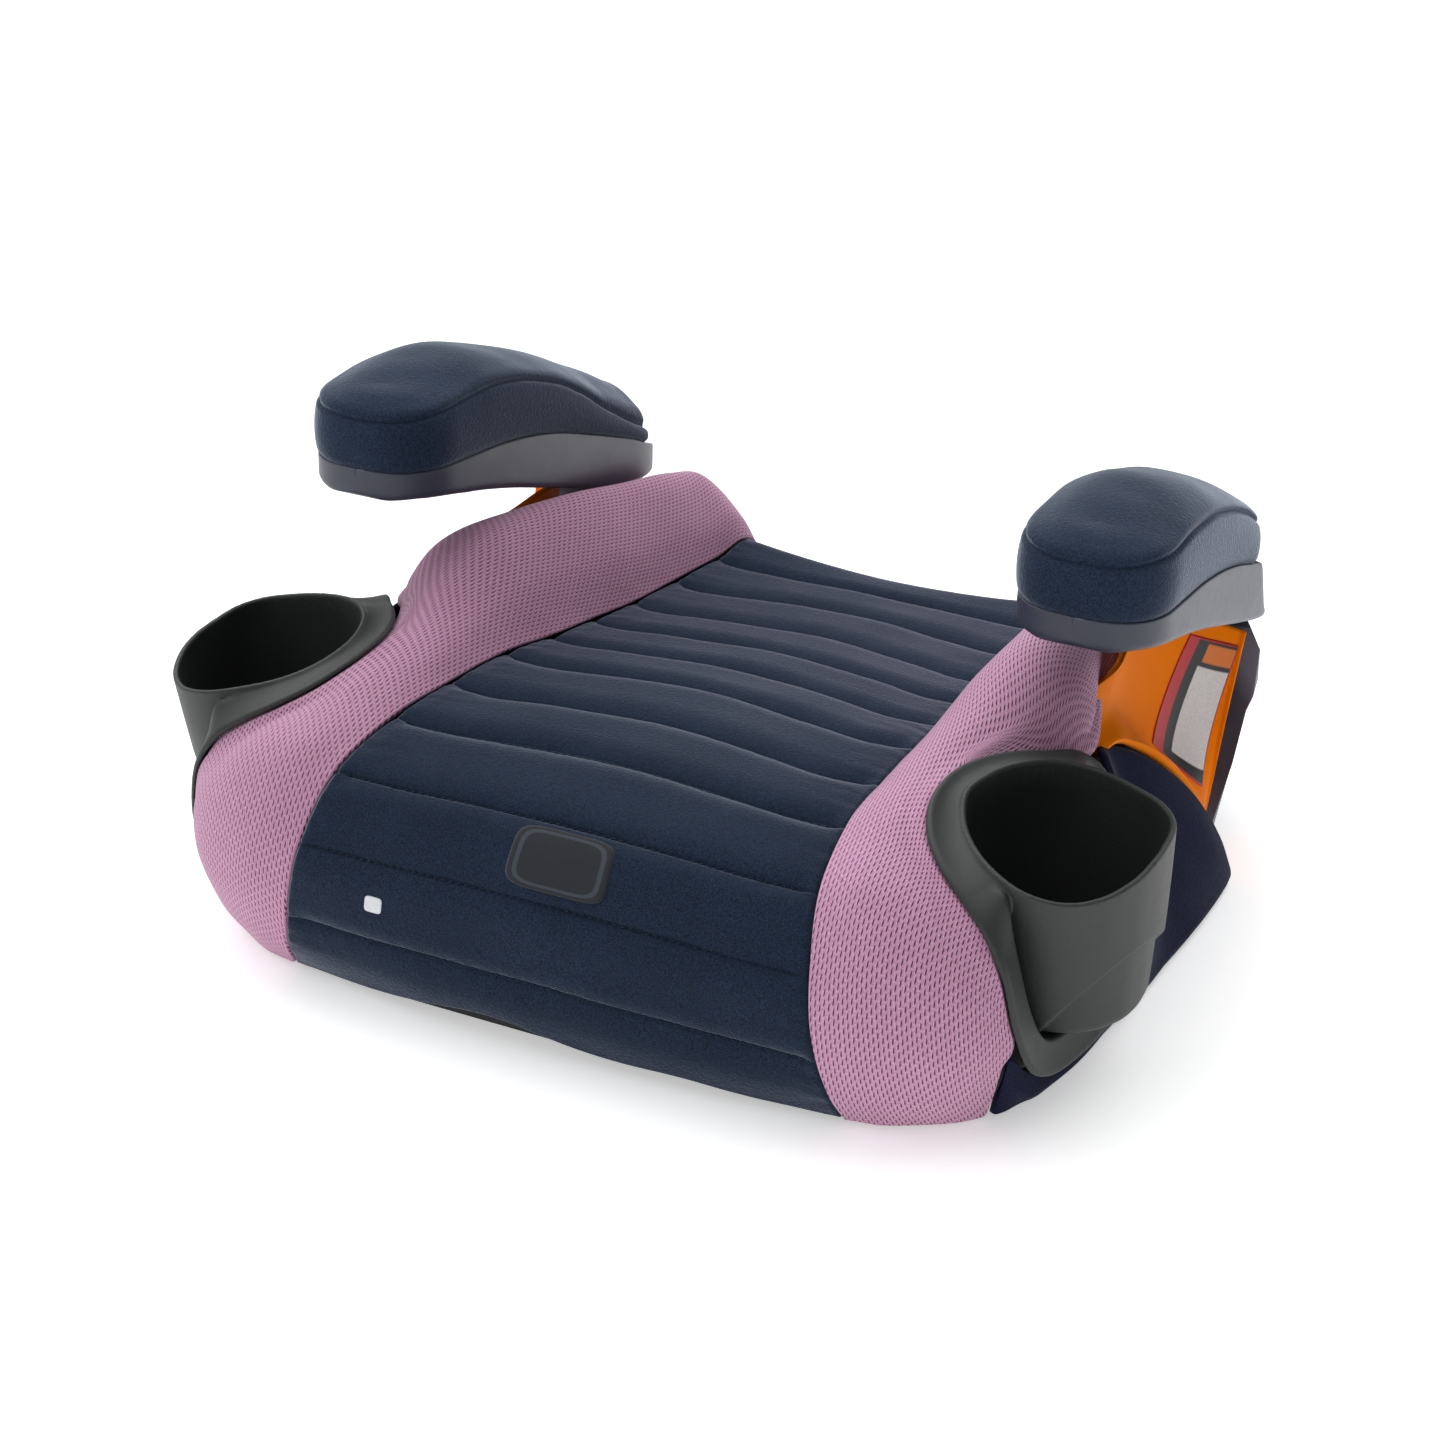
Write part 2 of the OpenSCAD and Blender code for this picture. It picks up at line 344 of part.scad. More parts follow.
// outer edge of the flange, from its rear end over the top and round the front to the tip
edge_pts = [[165, -40, 113], [155, -53, 116.5], [147.5, -63, 119], [139.5, -76, 121], [133.5, -92, 122], [131.5, -110, 122], [133.5, -128, 120], [140, -144, 115],
  [150, -156, 109], [162, -164, 101.5], [174, -169, 91], [184, -169, 77], [189.5, -165, 52], [193, -154, 30], [196, -138, 19], [199, -118, 15],
  [202, -94, 15], [204, -72, 20], [204, -53, 38], [197, -41, 62], [187, -34, 86], [176, -34, 104]];
// where the flange meets the cup: stations round the mouth, then down its front wall and under it
root_pts = concat([for (q = [4.6, 5.4, 6.1, 6.9, 7.8, 8.8, 9.7, 10.5, 11.4, 12.2, 12.8]) let (p = mouth(q, 1.4)) [p[0], p[1], p[2] - 2.2]],
  [[184, -149, 80], [188, -142, 56], [191, -134, 41], [192, -128, 36], [194, -114, 34.2], [196, -95, 34.2], [198, -72, 37], [198, -64, 50], [191, -63, 68], [182, -63, 90], [176, -63, 107]]);
module flange() {
  n = len(edge_pts);
  st = steps(0, n, 44);
  function row(s, w, d) = let (e = loop_at(edge_pts, s % n), r = loop_at(root_pts, s % n),
     e2 = loop_at(edge_pts, (s + 0.2) % n), t = unit(e2 - e), c = unit(r - e), nn = unit(cross(t, c)), b = e + (r - e) * w, sg = 2.2 * sin(180 * w))
     b + nn * (d - sg);
  ws = [0, 0.3, 0.65, 1];
  // a closed band: rings across the band, joined all the way round
  m = len(ws);
  pts = [for (i = [0:43]) let (s = st[i]) each concat([for (w = ws) row(s, w, 0)], [for (k = [m - 1:-1:0]) row(s, ws[k], -flange_t)])];
  q = 2 * m;
  f = [for (i = [0:43]) for (j = [0:q - 1]) let (i2 = (i + 1) % 44, j2 = (j + 1) % q, a = i * q + j, b = i * q + j2, c = i2 * q + j2, d = i2 * q + j) each [[a, b, c], [a, c, d]]];
  polyhedron(pts, f);
}
module cup_holder(left) {
  both(left) color(charcoal) {
    difference() {
      union() {
        loft(concat([for (k = [0, 0.25, 0.5, 0.75, 0.93, 0.985]) cup_ring(k, 0)], [cup_ring(1, 1.6), cup_ring(1, 5)]));
        flange();
        translate([136.4, -118, 62]) cube([12, 20, 16]);
      }
      loft(concat([cup_ring(0, cup_wall, lift = 2), for (k = [0.02, 0.3, 0.6, 0.88]) cup_ring(k, cup_wall)], [cup_ring(0.94, cup_wall + 1.2), cup_ring(0.965, cup_wall + 5)]));
    }
  }
}
module cup_bracket(left) {
  both(left) color(black_c) difference() {
    union() { translate([127.2, -132, 54]) cube([3.4, 48, 32]); translate([130, -122.5, 57]) cube([10, 29, 26]); }
    translate([132, -118.4, 61.6]) cube([12, 20.8, 16.8]);
    for (y = [-127.5, -88.5]) translate([120, y, 70]) rotate([0, 90, 0]) cylinder(d = tray_screw_d + 2 * screw_clear, h = 20, $fn = 48);
  }
}
module bracket_screws() {
  color(steel_c) for (k = [0, 1]) both(k == 1) for (y = [-127.5, -88.5]) translate([0, y, 70]) rotate([0, 90, 0]) {
    translate([0, 0, 130.6]) cylinder(d = 7.5, h = 2, $fn = 48);
    translate([0, 0, 119]) cylinder(d = tray_screw_d, h = 12, $fn = 48);
  }
}

base_shell();
base_tray();
seat_foam();
bolster_foam(true);  // bolster_foam_left
bolster_foam(false);  // bolster_foam_right
centre_cover();
bolster_cover(true);  // bolster_cover_left
bolster_cover(false);  // bolster_cover_right
side_panel(true);  // side_panel_left
side_panel(false);  // side_panel_right
cover_patch();
cover_tab();
armrest_shell(true);  // armrest_shell_left
armrest_shell(false);  // armrest_shell_right
armrest_foam(true);  // armrest_foam_left
armrest_foam(false);  // armrest_foam_right
armrest_cover(true);  // armrest_cover_left
armrest_cover(false);  // armrest_cover_right
side_post(true);  // side_post_left
side_post(false);  // side_post_right
belt_guide(true);  // belt_guide_left
belt_guide(false);  // belt_guide_right
guide_label(true);  // guide_label_left
guide_label(false);  // guide_label_right
cup_holder(true);  // cup_holder_left
cup_holder(false);  // cup_holder_right
cup_bracket(true);  // cup_bracket_left
cup_bracket(false);  // cup_bracket_right
tray_screws();
post_screws();
armrest_screws();
bracket_screws();
foot_pads();
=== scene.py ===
import bpy, bmesh, math
import numpy as np
from mathutils import Vector, Matrix


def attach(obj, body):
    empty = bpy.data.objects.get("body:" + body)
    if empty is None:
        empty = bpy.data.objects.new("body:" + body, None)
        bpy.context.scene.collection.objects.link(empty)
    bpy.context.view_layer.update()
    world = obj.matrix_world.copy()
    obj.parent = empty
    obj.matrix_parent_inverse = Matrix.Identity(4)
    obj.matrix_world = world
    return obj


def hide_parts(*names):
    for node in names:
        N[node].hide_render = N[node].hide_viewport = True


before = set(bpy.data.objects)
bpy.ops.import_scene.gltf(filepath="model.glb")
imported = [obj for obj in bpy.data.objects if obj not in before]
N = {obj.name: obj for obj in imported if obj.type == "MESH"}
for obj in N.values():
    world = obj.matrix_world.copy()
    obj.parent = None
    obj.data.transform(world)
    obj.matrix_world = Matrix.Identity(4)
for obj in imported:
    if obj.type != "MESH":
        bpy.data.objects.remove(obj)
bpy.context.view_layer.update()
SEAT, CUP_L, CUP_R = "seat", "cup_left", "cup_right"

# ------------------------------------------------------------------ camera
cam_data = bpy.data.cameras.new("camera")
cam = bpy.data.objects.new("camera", cam_data)
bpy.context.scene.collection.objects.link(cam)
fwd = Vector((-0.37704, 0.82088, -0.42895)).normalized()
rgt = Vector((0.90204, 0.43054, 0.03104)).normalized()
upv = rgt.cross(fwd).normalized()
m = Matrix.Identity(4)
for i in range(3):
    m[i][0], m[i][1], m[i][2], m[i][3] = rgt[i], upv[i], -fwd[i], (0.47278, -1.06133, 0.62094)[i]
cam.matrix_world = m
cam_data.sensor_width = 36
cam_data.lens = 71.27
cam_data.clip_start, cam_data.clip_end = 0.05, 60
bpy.context.scene.camera = cam

# ------------------------------------------------------------------ shape tables, in millimetres, the same as in the CAD
bolster = np.array([
  [[127, -182, 2.5], [142, -179, 2.5], [156, -171, 2.5], [168, -162, 2.5], [176, -153, 2.5]],
  [[123, -193, 21], [142, -190, 21], [159, -183, 21], [172, -172, 21], [181, -158, 21]],
  [[118, -199, 46], [140, -197, 47], [161, -190, 47], [176, -179, 46], [185, -164, 42]],
  [[114, -195, 70], [136, -193, 76], [157, -187, 77], [173, -178, 73], [183, -168, 64]],
  [[108, -175, 96], [126, -174, 102], [144, -170, 101], [157, -167, 95.5], [167, -166, 88]],
  [[103, -136, 106], [112, -138, 110.5], [121, -138, 113.8], [128, -138, 114.2], [135, -137, 110]],
  [[100, -95, 106], [108, -95, 114], [116, -95, 118], [124, -95, 119], [131, -95, 116]],
  [[98, -51, 103], [110, -53, 118], [125, -54, 126], [139, -54, 123.5], [149.5, -54, 113]],
  [[95, -13, 97], [109, -13, 123], [128, -15, 139], [152, -20, 132], [168, -27, 106]],
  [[94, 26, 91], [106, 26, 118], [125, 26, 138], [147, 23, 131], [157, 16, 111]],
  [[93, 66, 85], [103, 66, 111], [121, 66, 134], [136, 64, 127], [149, 60, 108]],
  [[93, 112, 80], [102, 112, 103], [118, 112, 125], [131, 111, 118], [143, 108, 101]],
  [[91, 155, 77], [99, 155, 96], [116, 155, 116], [130, 155, 108], [140, 153, 92]],
  [[89, 182, 78], [97, 182, 92], [114, 182, 108], [128, 182, 101], [138, 181, 86]],
  [[88, 197, 67], [96, 198, 76], [112, 198, 87], [126, 198, 82], [136, 196, 73]],
  [[88, 199, 40], [98, 200, 42], [112, 200, 44], [126, 200, 44], [136, 198, 44]]], float)
centre = [[-192, 5], [-199, 23], [-201, 47], [-197.5, 72], [-177, 98.5], [-136, 108.5], [-95, 108.5], [-51, 105],
  [-13, 99], [26, 93], [66, 86], [112, 79.5], [155, 73.5], [183, 70], [197, 60], [199, 38]]
panel = []
for (cy_, cz_), st in zip(centre, bolster):
    a = st[0]
    h = [a[0] / 2, (a[1] + 3 * cy_) / 4, (a[2] + 3 * cz_) / 4]
    panel.append([[-a[0], a[1], a[2]], [-h[0], h[1], h[2]], [0, cy_, cz_], h, list(a)])
panel = np.array(panel, float)
side = np.array([
  [[182, -158, 24], [180, -155, 13], [178, -151, 2]],
  [[186, -163, 37], [184, -155, 20], [181, -146, 2]],
  [[188, -158, 29], [187, -149, 16], [184, -137, 2]],
  [[190, -150, 18], [189, -141, 10], [187, -130, 2]],
  [[192, -137, 13], [191, -130, 8], [189, -120, 2]],
  [[196, -112, 10], [195, -106, 6], [192, -98, 2]],
  [[199, -82, 12], [198, -76, 7], [196, -70, 2]],
  [[201, -58, 26], [201, -52, 14], [199, -46, 2]],
  [[197, -40, 52], [201, -34, 26], [201, -28, 2]],
  [[186, -31, 84], [197, -22, 42], [202, -14, 2]],
  [[172, -20, 102], [190, -10, 52], [203, -1, 2]],
  [[166, -4, 100], [188, 4, 52], [204, 12, 2]],
  [[174, 20, 88], [193, 24, 46], [205, 28, 2]],
  [[183, 42, 72], [198, 44, 38], [205.5, 46, 2]],
  [[191, 61, 52], [202, 61, 28], [205.5, 62, 2]],
  [[199, 75, 30], [204, 75, 16], [205, 76, 2]],
  [[203, 85, 10], [204, 86, 6], [204, 87, 2]]], float)
guide = np.array([
  [[161.5, 10, 112], [163, 8, 105], [169, 6, 98]],
  [[159, 28, 122], [160, 25, 104], [173, 23, 89]],
  [[155.5, 54, 123], [159, 52, 86], [181, 45, 73]],
  [[154, 82, 125], [160, 80, 66], [189, 66, 50]],
  [[160, 108, 118], [166, 99, 54], [193, 81, 27]],
  [[173, 126, 109], [175, 114, 50], [188, 99, 6]],
  [[186, 137, 102], [183, 126, 54], [178, 119, 3]]], float)


def ext(P, ax):
    n = P.shape[ax]
    f = 2 * P.take([0], ax) - P.take([1], ax)
    l = 2 * P.take([n - 1], ax) - P.take([n - 2], ax)
    return np.concatenate([f, P, l], ax)


def wts(t):
    return np.stack([0.5 * (-t + 2 * t * t - t ** 3), 0.5 * (2 - 5 * t * t + 3 * t ** 3), 0.5 * (t + 4 * t * t - 3 * t ** 3), 0.5 * (-t * t + t ** 3)], -1)


def sheet(P, U, V):
    E = ext(ext(P, 0), 1)
    n, k = P.shape[:2]
    i = np.clip(np.floor(V), 0, n - 2).astype(int)
    j = np.clip(np.floor(U), 0, k - 2).astype(int)
    wv, wu = wts(V - i), wts(U - j)
    out = np.zeros(U.shape + (3,))
    for a in range(4):
        for b in range(4):
            out += (wv[..., a] * wu[..., b])[..., None] * E[i + a, j + b]
    return out


def unit(v):
    return v / np.maximum(np.linalg.norm(v, axis=-1, keepdims=True), 1e-9)


def nrm(P, U, V, e=0.05):
    k, n = P.shape[1] - 1, P.shape[0] - 1
    du = sheet(P, np.minimum(U + e, k), V) - sheet(P, np.maximum(U - e, 0), V)
    dv = sheet(P, U, np.minimum(V + e, n)) - sheet(P, U, np.maximum(V - e, 0))
    return unit(np.cross(du, dv))


def curve(p, y):
    """Smooth height curve through [y, z] stations."""
    p = np.array(p, float)
    n = len(p)
    i = np.clip(np.searchsorted(p[:, 0], y, side="right") - 1, 0, n - 2)
    t = (y - p[i, 0]) / (p[i + 1, 0] - p[i, 0])
    z = np.concatenate([[2 * p[0, 1] - p[1, 1]], p[:, 1], [2 * p[-1, 1] - p[-2, 1]]])
    w = wts(t)
    return w[..., 0] * z[i] + w[..., 1] * z[i + 1] + w[..., 2] * z[i + 2] + w[..., 3] * z[i + 3]


def lerp(a, b, t):
    return a + (b - a) * t


def sstep(a, b, x):
    t = np.clip((x - a) / (b - a), 0, 1)
    return t * t * (3 - 2 * t)


def wob(x, y, seed, size):
    """Smooth repeatable unevenness between -1 and 1; size is its wavelength."""
    r = np.random.RandomState(seed)
    out = 0
    for k in range(7):
        th = r.uniform(0, math.pi)
        f = 2 * math.pi / size * r.uniform(0.6, 1.7)
        out = out + np.sin((x * math.cos(th) + y * math.sin(th)) * f + r.uniform(0, 7))
    return out / 4.0


# ------------------------------------------------------------------ mesh making
def make(name, verts, faces, mat, body=SEAT, cloth=None, left=False, smooth=True, fix=True):
    verts = np.array(verts, float).reshape(-1, 3) * 0.001
    if left:
        verts = verts * np.array([-1, 1, 1])
    me = bpy.data.meshes.new(name)
    me.from_pydata(verts.tolist(), [], [list(map(int, f)) for f in faces])
    if cloth is not None:
        at = me.attributes.new("cloth", "FLOAT_VECTOR", "POINT")
        at.data.foreach_set("vector", np.array(cloth, np.float32).reshape(-1))
    if fix:
        bm = bmesh.new()
        bm.from_mesh(me)
        bmesh.ops.recalc_face_normals(bm, faces=bm.faces)
        bm.to_mesh(me)
        bm.free()
    me.polygons.foreach_set("use_smooth", [smooth] * len(me.polygons))
    me.materials.append(mat)
    o = bpy.data.objects.new(name, me)
    bpy.context.scene.collection.objects.link(o)
    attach(o, body)
    return o


def grid_faces(n, k, o=0):
    i, j = np.meshgrid(np.arange(n - 1), np.arange(k - 1), indexing="ij")
    a = (o + i * k + j).ravel()
    return np.stack([a, a + 1, a + k + 1, a + k], 1)


def slab(name, top, bot, mat, cloth=None, cloth2=None, **kw):
    """Closed solid between two equal grids."""
    n, k = top.shape[:2]
    c = n * k
    f = [grid_faces(n, k), grid_faces(n, k, c)[:, ::-1]]
    for a in (np.arange(k), (n - 1) * k + np.arange(k), np.arange(n) * k, np.arange(n) * k + k - 1):
        f.append(np.stack([a[:-1], a[1:], a[1:] + c, a[:-1] + c], 1))
    cl = None if cloth is None else np.concatenate([cloth.reshape(-1, 3), (cloth if cloth2 is None else cloth2).reshape(-1, 3)])
    return make(name, np.concatenate([top.reshape(-1, 3), bot.reshape(-1, 3)]), np.concatenate(f), mat, cloth=cl, **kw)


def loft(name, rings, mat, cloth=None, **kw):
    """Closed solid through rings of equal point counts, capped with small fans."""
    rings = np.array(rings)
    n, k = rings.shape[:2]
    i, j = np.meshgrid(np.arange(n - 1), np.arange(k), indexing="ij")
    a, b = (i * k + j).ravel(), (i * k + (j + 1) % k).ravel()
    f = np.stack([a, b, b + k, a + k], 1).tolist()
    pts = np.concatenate([rings.reshape(-1, 3), rings[0].mean(0)[None], rings[-1].mean(0)[None]])
    for q in range(k):
        f.append([n * k, (q + 1) % k, q])
        f.append([n * k + 1, (n - 1) * k + q, (n - 1) * k + (q + 1) % k])
    cl = None if cloth is None else np.concatenate([cloth.reshape(-1, 3), cloth[0].mean(0)[None], cloth[-1].mean(0)[None]])
    return make(name, pts, f, mat, cloth=cl, **kw)


def arcs(S):
    """Arc lengths across and along a grid of points, in mm."""
    du = np.linalg.norm(np.diff(S, axis=1), axis=-1)
    dv = np.linalg.norm(np.diff(S, axis=0), axis=-1)
    au = np.concatenate([np.zeros((S.shape[0], 1)), np.cumsum(du, 1)], 1)
    av = np.concatenate([np.zeros((1, S.shape[1])), np.cumsum(dv, 0)], 0)
    return au, av


def roll(s, r):
    """How far a rolled edge of radius r drops, at distance s from the edge."""
    q = np.clip(1 - s / r, 0, 1)
    return r * (1 - np.sqrt(1 - q * q * 0.98))


def threads(name, pts, tan, nor, mat, length=2.4, rad=0.28, lift=0.1, body=SEAT, left=False):
    """Small stitches: one slim rounded capsule a point, lying along tan."""
    pts, tan, nor = (np.array(a, float) for a in (pts, tan, nor))
    nor = unit(nor - tan * (nor * tan).sum(-1, keepdims=True))
    sid = np.cross(tan, nor)
    V, F = [], []
    prof = [(-0.5, 0.25, -0.25), (-0.38, 0.8, 0.1), (0, 1, 0.35), (0.38, 0.8, 0.1), (0.5, 0.25, -0.25)]
    m = 6
    ang = [2 * math.pi * j / m for j in range(m)]
    for p, t, nn, s in zip(pts, tan, nor, sid):
        o = len(V)
        for (l, r, h) in prof:
            for a in ang:
                V.append(p + t * l * length + (nn * math.cos(a) + s * math.sin(a)) * rad * r + nn * (lift + h * rad))
        for i in range(len(prof) - 1):
            for j in range(m):
                a, b = o + i * m + j, o + i * m + (j + 1) % m
                F.append([a, b, b + m, a + m])
        F.append([o + j for j in range(m)][::-1])
        F.append([o + (len(prof) - 1) * m + j for j in range(m)])
    return make(name, V, F, mat, body=body, left=left)


def tube(name, pts, rad, mat, body=SEAT, left=False, m=10, closed=False):
    """A round bead along a path."""
    pts = np.array(pts, float)
    n = len(pts)
    tan = unit(np.roll(pts, -1, 0) - np.roll(pts, 1, 0)) if closed else unit(np.gradient(pts, axis=0))
    ref = np.array([0, 0, 1.0])
    V = []
    for p, t in zip(pts, tan):
        s = np.cross(t, ref)
        s = s / max(np.linalg.norm(s), 1e-6)
        w = np.cross(s, t)
        V.append([p + (s * math.cos(a) + w * math.sin(a)) * rad for a in np.arange(m) * 2 * math.pi / m])
    V = np.array(V)
    if closed:
        F = [[i * m + j, i * m + (j + 1) % m, ((i + 1) % n) * m + (j + 1) % m, ((i + 1) % n) * m + j] for i in range(n) for j in range(m)]
        return make(name, V, F, mat, body=body, left=left)
    return loft(name, V, mat, body=body, left=left)


# ------------------------------------------------------------------ materials
def lin(c):
    """sRGB 0-255 to linear RGBA."""
    return tuple([((v / 255) / 12.92 if v / 255 <= 0.04045 else ((v / 255 + 0.055) / 1.055) ** 2.4) for v in c] + [1.0])


class Mat:
    def __init__(self, name, rough=0.6, spec=0.5, sheen=0.0, sheen_rough=0.4, sheen_tint=(1, 1, 1), coat=0.0, coat_rough=0.2, metal=0.0):
        self.m = bpy.data.materials.new(name)
        self.m.use_nodes = True
        self.t = self.m.node_tree
        self.b = self.t.nodes["Principled BSDF"]
        self.b.inputs["Roughness"].default_value = rough
        self.b.inputs["Specular IOR Level"].default_value = spec
        self.b.inputs["Metallic"].default_value = metal
        self.b.inputs["Sheen Weight"].default_value = sheen
        self.b.inputs["Sheen Roughness"].default_value = sheen_rough
        self.b.inputs["Sheen Tint"].default_value = tuple(sheen_tint) + (1.0,)
        self.b.inputs["Coat Weight"].default_value = coat
        self.b.inputs["Coat Roughness"].default_value = coat_rough

    def n(self, kind, **kw):
        x = self.t.nodes.new(kind)
        for k, v in kw.items():
            setattr(x, k, v)
        return x

    def put(self, sock, v):
        if isinstance(v, bpy.types.NodeSocket):
            self.t.links.new(v, sock)
        else:
            sock.default_value = v

    def math(self, op, a, b=0.5, c=0.5, clamp=False):
        x = self.n("ShaderNodeMath", operation=op, use_clamp=clamp)
        for s, v in zip(x.inputs, (a, b, c)):
            self.put(s, v)
        return x.outputs[0]

    def obj(self):
        return self.n("ShaderNodeTexCoord").outputs["Object"]

    def cloth(self):
        return self.n("ShaderNodeAttribute", attribute_name="cloth").outputs["Vector"]

    def xyz(self, v):
        x = self.n("ShaderNodeSeparateXYZ")
        self.put(x.inputs[0], v)
        return x.outputs

    def noise(self, scale, detail=2.0, rough=0.5, vec=None):
        x = self.n("ShaderNodeTexNoise")
        self.put(x.inputs["Vector"], vec if vec is not None else self.obj())
        x.inputs["Scale"].default_value = scale
        x.inputs["Detail"].default_value = detail
        x.inputs["Roughness"].default_value = rough
        return x.outputs["Fac"]

    def ramp(self, fac, a, b, ca, cb):
        """Colour from ca at a to cb at b."""
        x = self.n("ShaderNodeValToRGB")
        self.put(x.inputs[0], fac)
        x.color_ramp.elements[0].position, x.color_ramp.elements[0].color = a, ca
        x.color_ramp.elements[1].position, x.color_ramp.elements[1].color = b, cb
        return x.outputs[0]

    def mapr(self, v, a, b, c, d):
        x = self.n("ShaderNodeMapRange")
        self.put(x.inputs[0], v)
        for i, q in enumerate((a, b, c, d)):
            x.inputs[i + 1].default_value = q
        return x.outputs[0]

    def mix(self, f, a, b, mode="MIX"):
        x = self.n("ShaderNodeMix", data_type="RGBA", blend_type=mode)
        self.put(x.inputs[0], f)
        self.put(x.inputs[6], a)
        self.put(x.inputs[7], b)
        return x.outputs[2]

    def bump(self, h, strength, dist, under=None):
        x = self.n("ShaderNodeBump")
        x.inputs["Strength"].default_value = strength
        x.inputs["Distance"].default_value = dist
        self.put(x.inputs["Height"], h)
        if under is not None:
            self.put(x.inputs["Normal"], under)
        return x.outputs[0]

    def color(self, v):
        self.put(self.b.inputs["Base Color"], v)

    def rough(self, v):
        self.put(self.b.inputs["Roughness"], v)

    def normal(self, v):
        self.put(self.b.inputs["Normal"], v)


def cloth_knit(name, dark, lit, sheen=0.5, tint=(0.8, 0.88, 1.0), grain=1.0):
    """Fine brushed knit: speckled grain, soft mottling and a pale sheen."""
    q = Mat(name, rough=0.9, spec=0.15, sheen=sheen, sheen_rough=0.3, sheen_tint=tint)
    fine = q.noise(1500, 2.0, 0.6)
    mid = q.noise(620, 1.0, 0.5)
    big = q.noise(26, 2.0, 0.5)
    c = q.ramp(fine, 0.36, 0.66, dark, lit)
    c = q.mix(q.mapr(mid, 0.35, 0.7, 0.0, 0.35), c, lit)
    c = q.mix(q.mapr(big, 0.3, 0.75, 0.0, 0.25), c, dark)
    q.color(c)
    q.rough(q.mapr(mid, 0.3, 0.7, 0.82, 0.97))
    n1 = q.bump(fine, 0.5 * grain, 0.0004)
    q.normal(q.bump(mid, 0.35 * grain, 0.0006, n1))
    return q.m


def mat_mesh():
    """Spacer mesh: pale threads round staggered slanted slits, with painted shade inside the slits."""
    q = Mat("pink_spacer_mesh", rough=0.75, spec=0.3, sheen=0.25, sheen_rough=0.5, sheen_tint=(1.0, 0.85, 0.95))
    x, y, under = q.xyz(q.cloth())
    # slant: across position shifts with the position along
    a = q.math("MULTIPLY_ADD", y, 0.12, x)
    pu, pv = 0.00185, 0.0040
    u = q.math("DIVIDE", a, pu)
    col = q.math("FLOOR", u)
    odd = q.math("MODULO", q.math("ABSOLUTE", col), 2.0)
    v = q.math("MULTIPLY_ADD", odd, 0.5, q.math("DIVIDE", y, pv))
    fu = q.math("SUBTRACT", q.math("FRACT", u), 0.5)
    fv = q.math("SUBTRACT", q.math("FRACT", v), 0.5)
    # slit: a slim slanted oval in each cell
    su = q.math("DIVIDE", q.math("MULTIPLY_ADD", fv, -0.30, fu), 0.15)
    sv = q.math("DIVIDE", fv, 0.37)
    r2 = q.math("ADD", q.math("MULTIPLY", su, su), q.math("MULTIPLY", sv, sv))
    hole = q.math("MULTIPLY", q.mapr(r2, 0.6, 1.3, 1.0, 0.0), q.mapr(under, 0.0, 0.4, 1.0, 0.0))
    # threads between the slits
    thr = q.math("SINE", q.math("MULTIPLY", u, 2 * math.pi))
    knit = q.math("SINE", q.math("MULTIPLY", v, 4 * math.pi))
    lump = q.math("MULTIPLY_ADD", knit, 0.25, q.math("MULTIPLY", thr, 0.35))
    fine = q.noise(1700, 2.0, 0.6)
    big = q.noise(30, 2.0, 0.5)
    base = q.ramp(fine, 0.3, 0.7, lin((190, 130, 164)), lin((230, 184, 211)))
    base = q.mix(q.mapr(lump, -0.5, 0.6, 0.35, 0.0), base, lin((166, 102, 140)))
    base = q.mix(q.mapr(big, 0.3, 0.75, 0.0, 0.16), base, lin((176, 116, 152)))
    # painted shade: the slits are painted dark for the shade inside the openings
    c = q.mix(q.math("MULTIPLY", hole, 0.93), base, lin((74, 34, 60)))
    q.color(c)
    q.rough(q.mapr(fine, 0.3, 0.7, 0.68, 0.85))
    h = q.math("MULTIPLY_ADD", hole, -1.0, q.math("MULTIPLY", lump, 0.35))
    q.normal(q.bump(h, 0.7, 0.0006, q.bump(fine, 0.25, 0.0003)))
    return q.m


def plastic(name, ca, cb, rough=0.45, spec=0.5, coat=0.0, grain=0.15, gscale=900, var=0.06, sheen=0.0, edge_highlight=None):
    q = Mat(name, rough=rough, spec=spec, coat=coat, coat_rough=0.15, sheen=sheen, sheen_rough=0.5)
    fine = q.noise(gscale, 3.0, 0.6)
    big = q.noise(14, 3.0, 0.55)
    c = q.ramp(big, 0.3, 0.7, ca, cb)
    c = q.mix(q.mapr(fine, 0.35, 0.7, 0.0, 0.25), c, ca)
    if edge_highlight is not None:
        # painted highlight: convex edges, found by pointiness, are painted lighter as if catching the light
        geo = q.n("ShaderNodeNewGeometry")
        c = q.mix(q.math("MULTIPLY", q.mapr(geo.outputs["Pointiness"], 0.53, 0.62, 0.0, 1.0), 0.55), c, edge_highlight)
    q.color(c)
    scuff = q.noise(160, 4.0, 0.7)
    q.rough(q.mapr(q.math("MULTIPLY_ADD", scuff, 0.5, q.math("MULTIPLY", big, 0.5)), 0.3, 0.7, rough - var, rough + var))
    q.normal(q.bump(fine, grain, 0.0003))
    return q.m


M_NAVY = cloth_knit("navy_knit", lin((14, 23, 38)), lin((39, 53, 75)), sheen=0.9)
M_PAD = cloth_knit("navy_pad_knit", lin((17, 27, 42)), lin((50, 64, 88)), sheen=1.0)
M_SIDE = cloth_knit("dark_side_knit", lin((9, 12, 34)), lin((24, 28, 60)), sheen=0.08, grain=0.5)
M_MESH = mat_mesh()
# the pale edge colour is a painted highlight on the convex edges
M_SLATE = plastic("slate_satin_plastic", lin((53, 56, 72)), lin((61, 64, 81)), rough=0.42, grain=0.12, edge_highlight=lin((128, 130, 148)))
M_ORANGE = plastic("orange_satin_plastic", lin((250, 126, 0)), lin((255, 138, 2)), rough=0.5, spec=0.03, coat=0.0, grain=0.05)
M_CUP = plastic("charcoal_soft_touch", lin((47, 50, 48)), lin((56, 59, 57)), rough=0.52, spec=0.35, grain=0.35, gscale=1300, sheen=0.0, var=0.05)
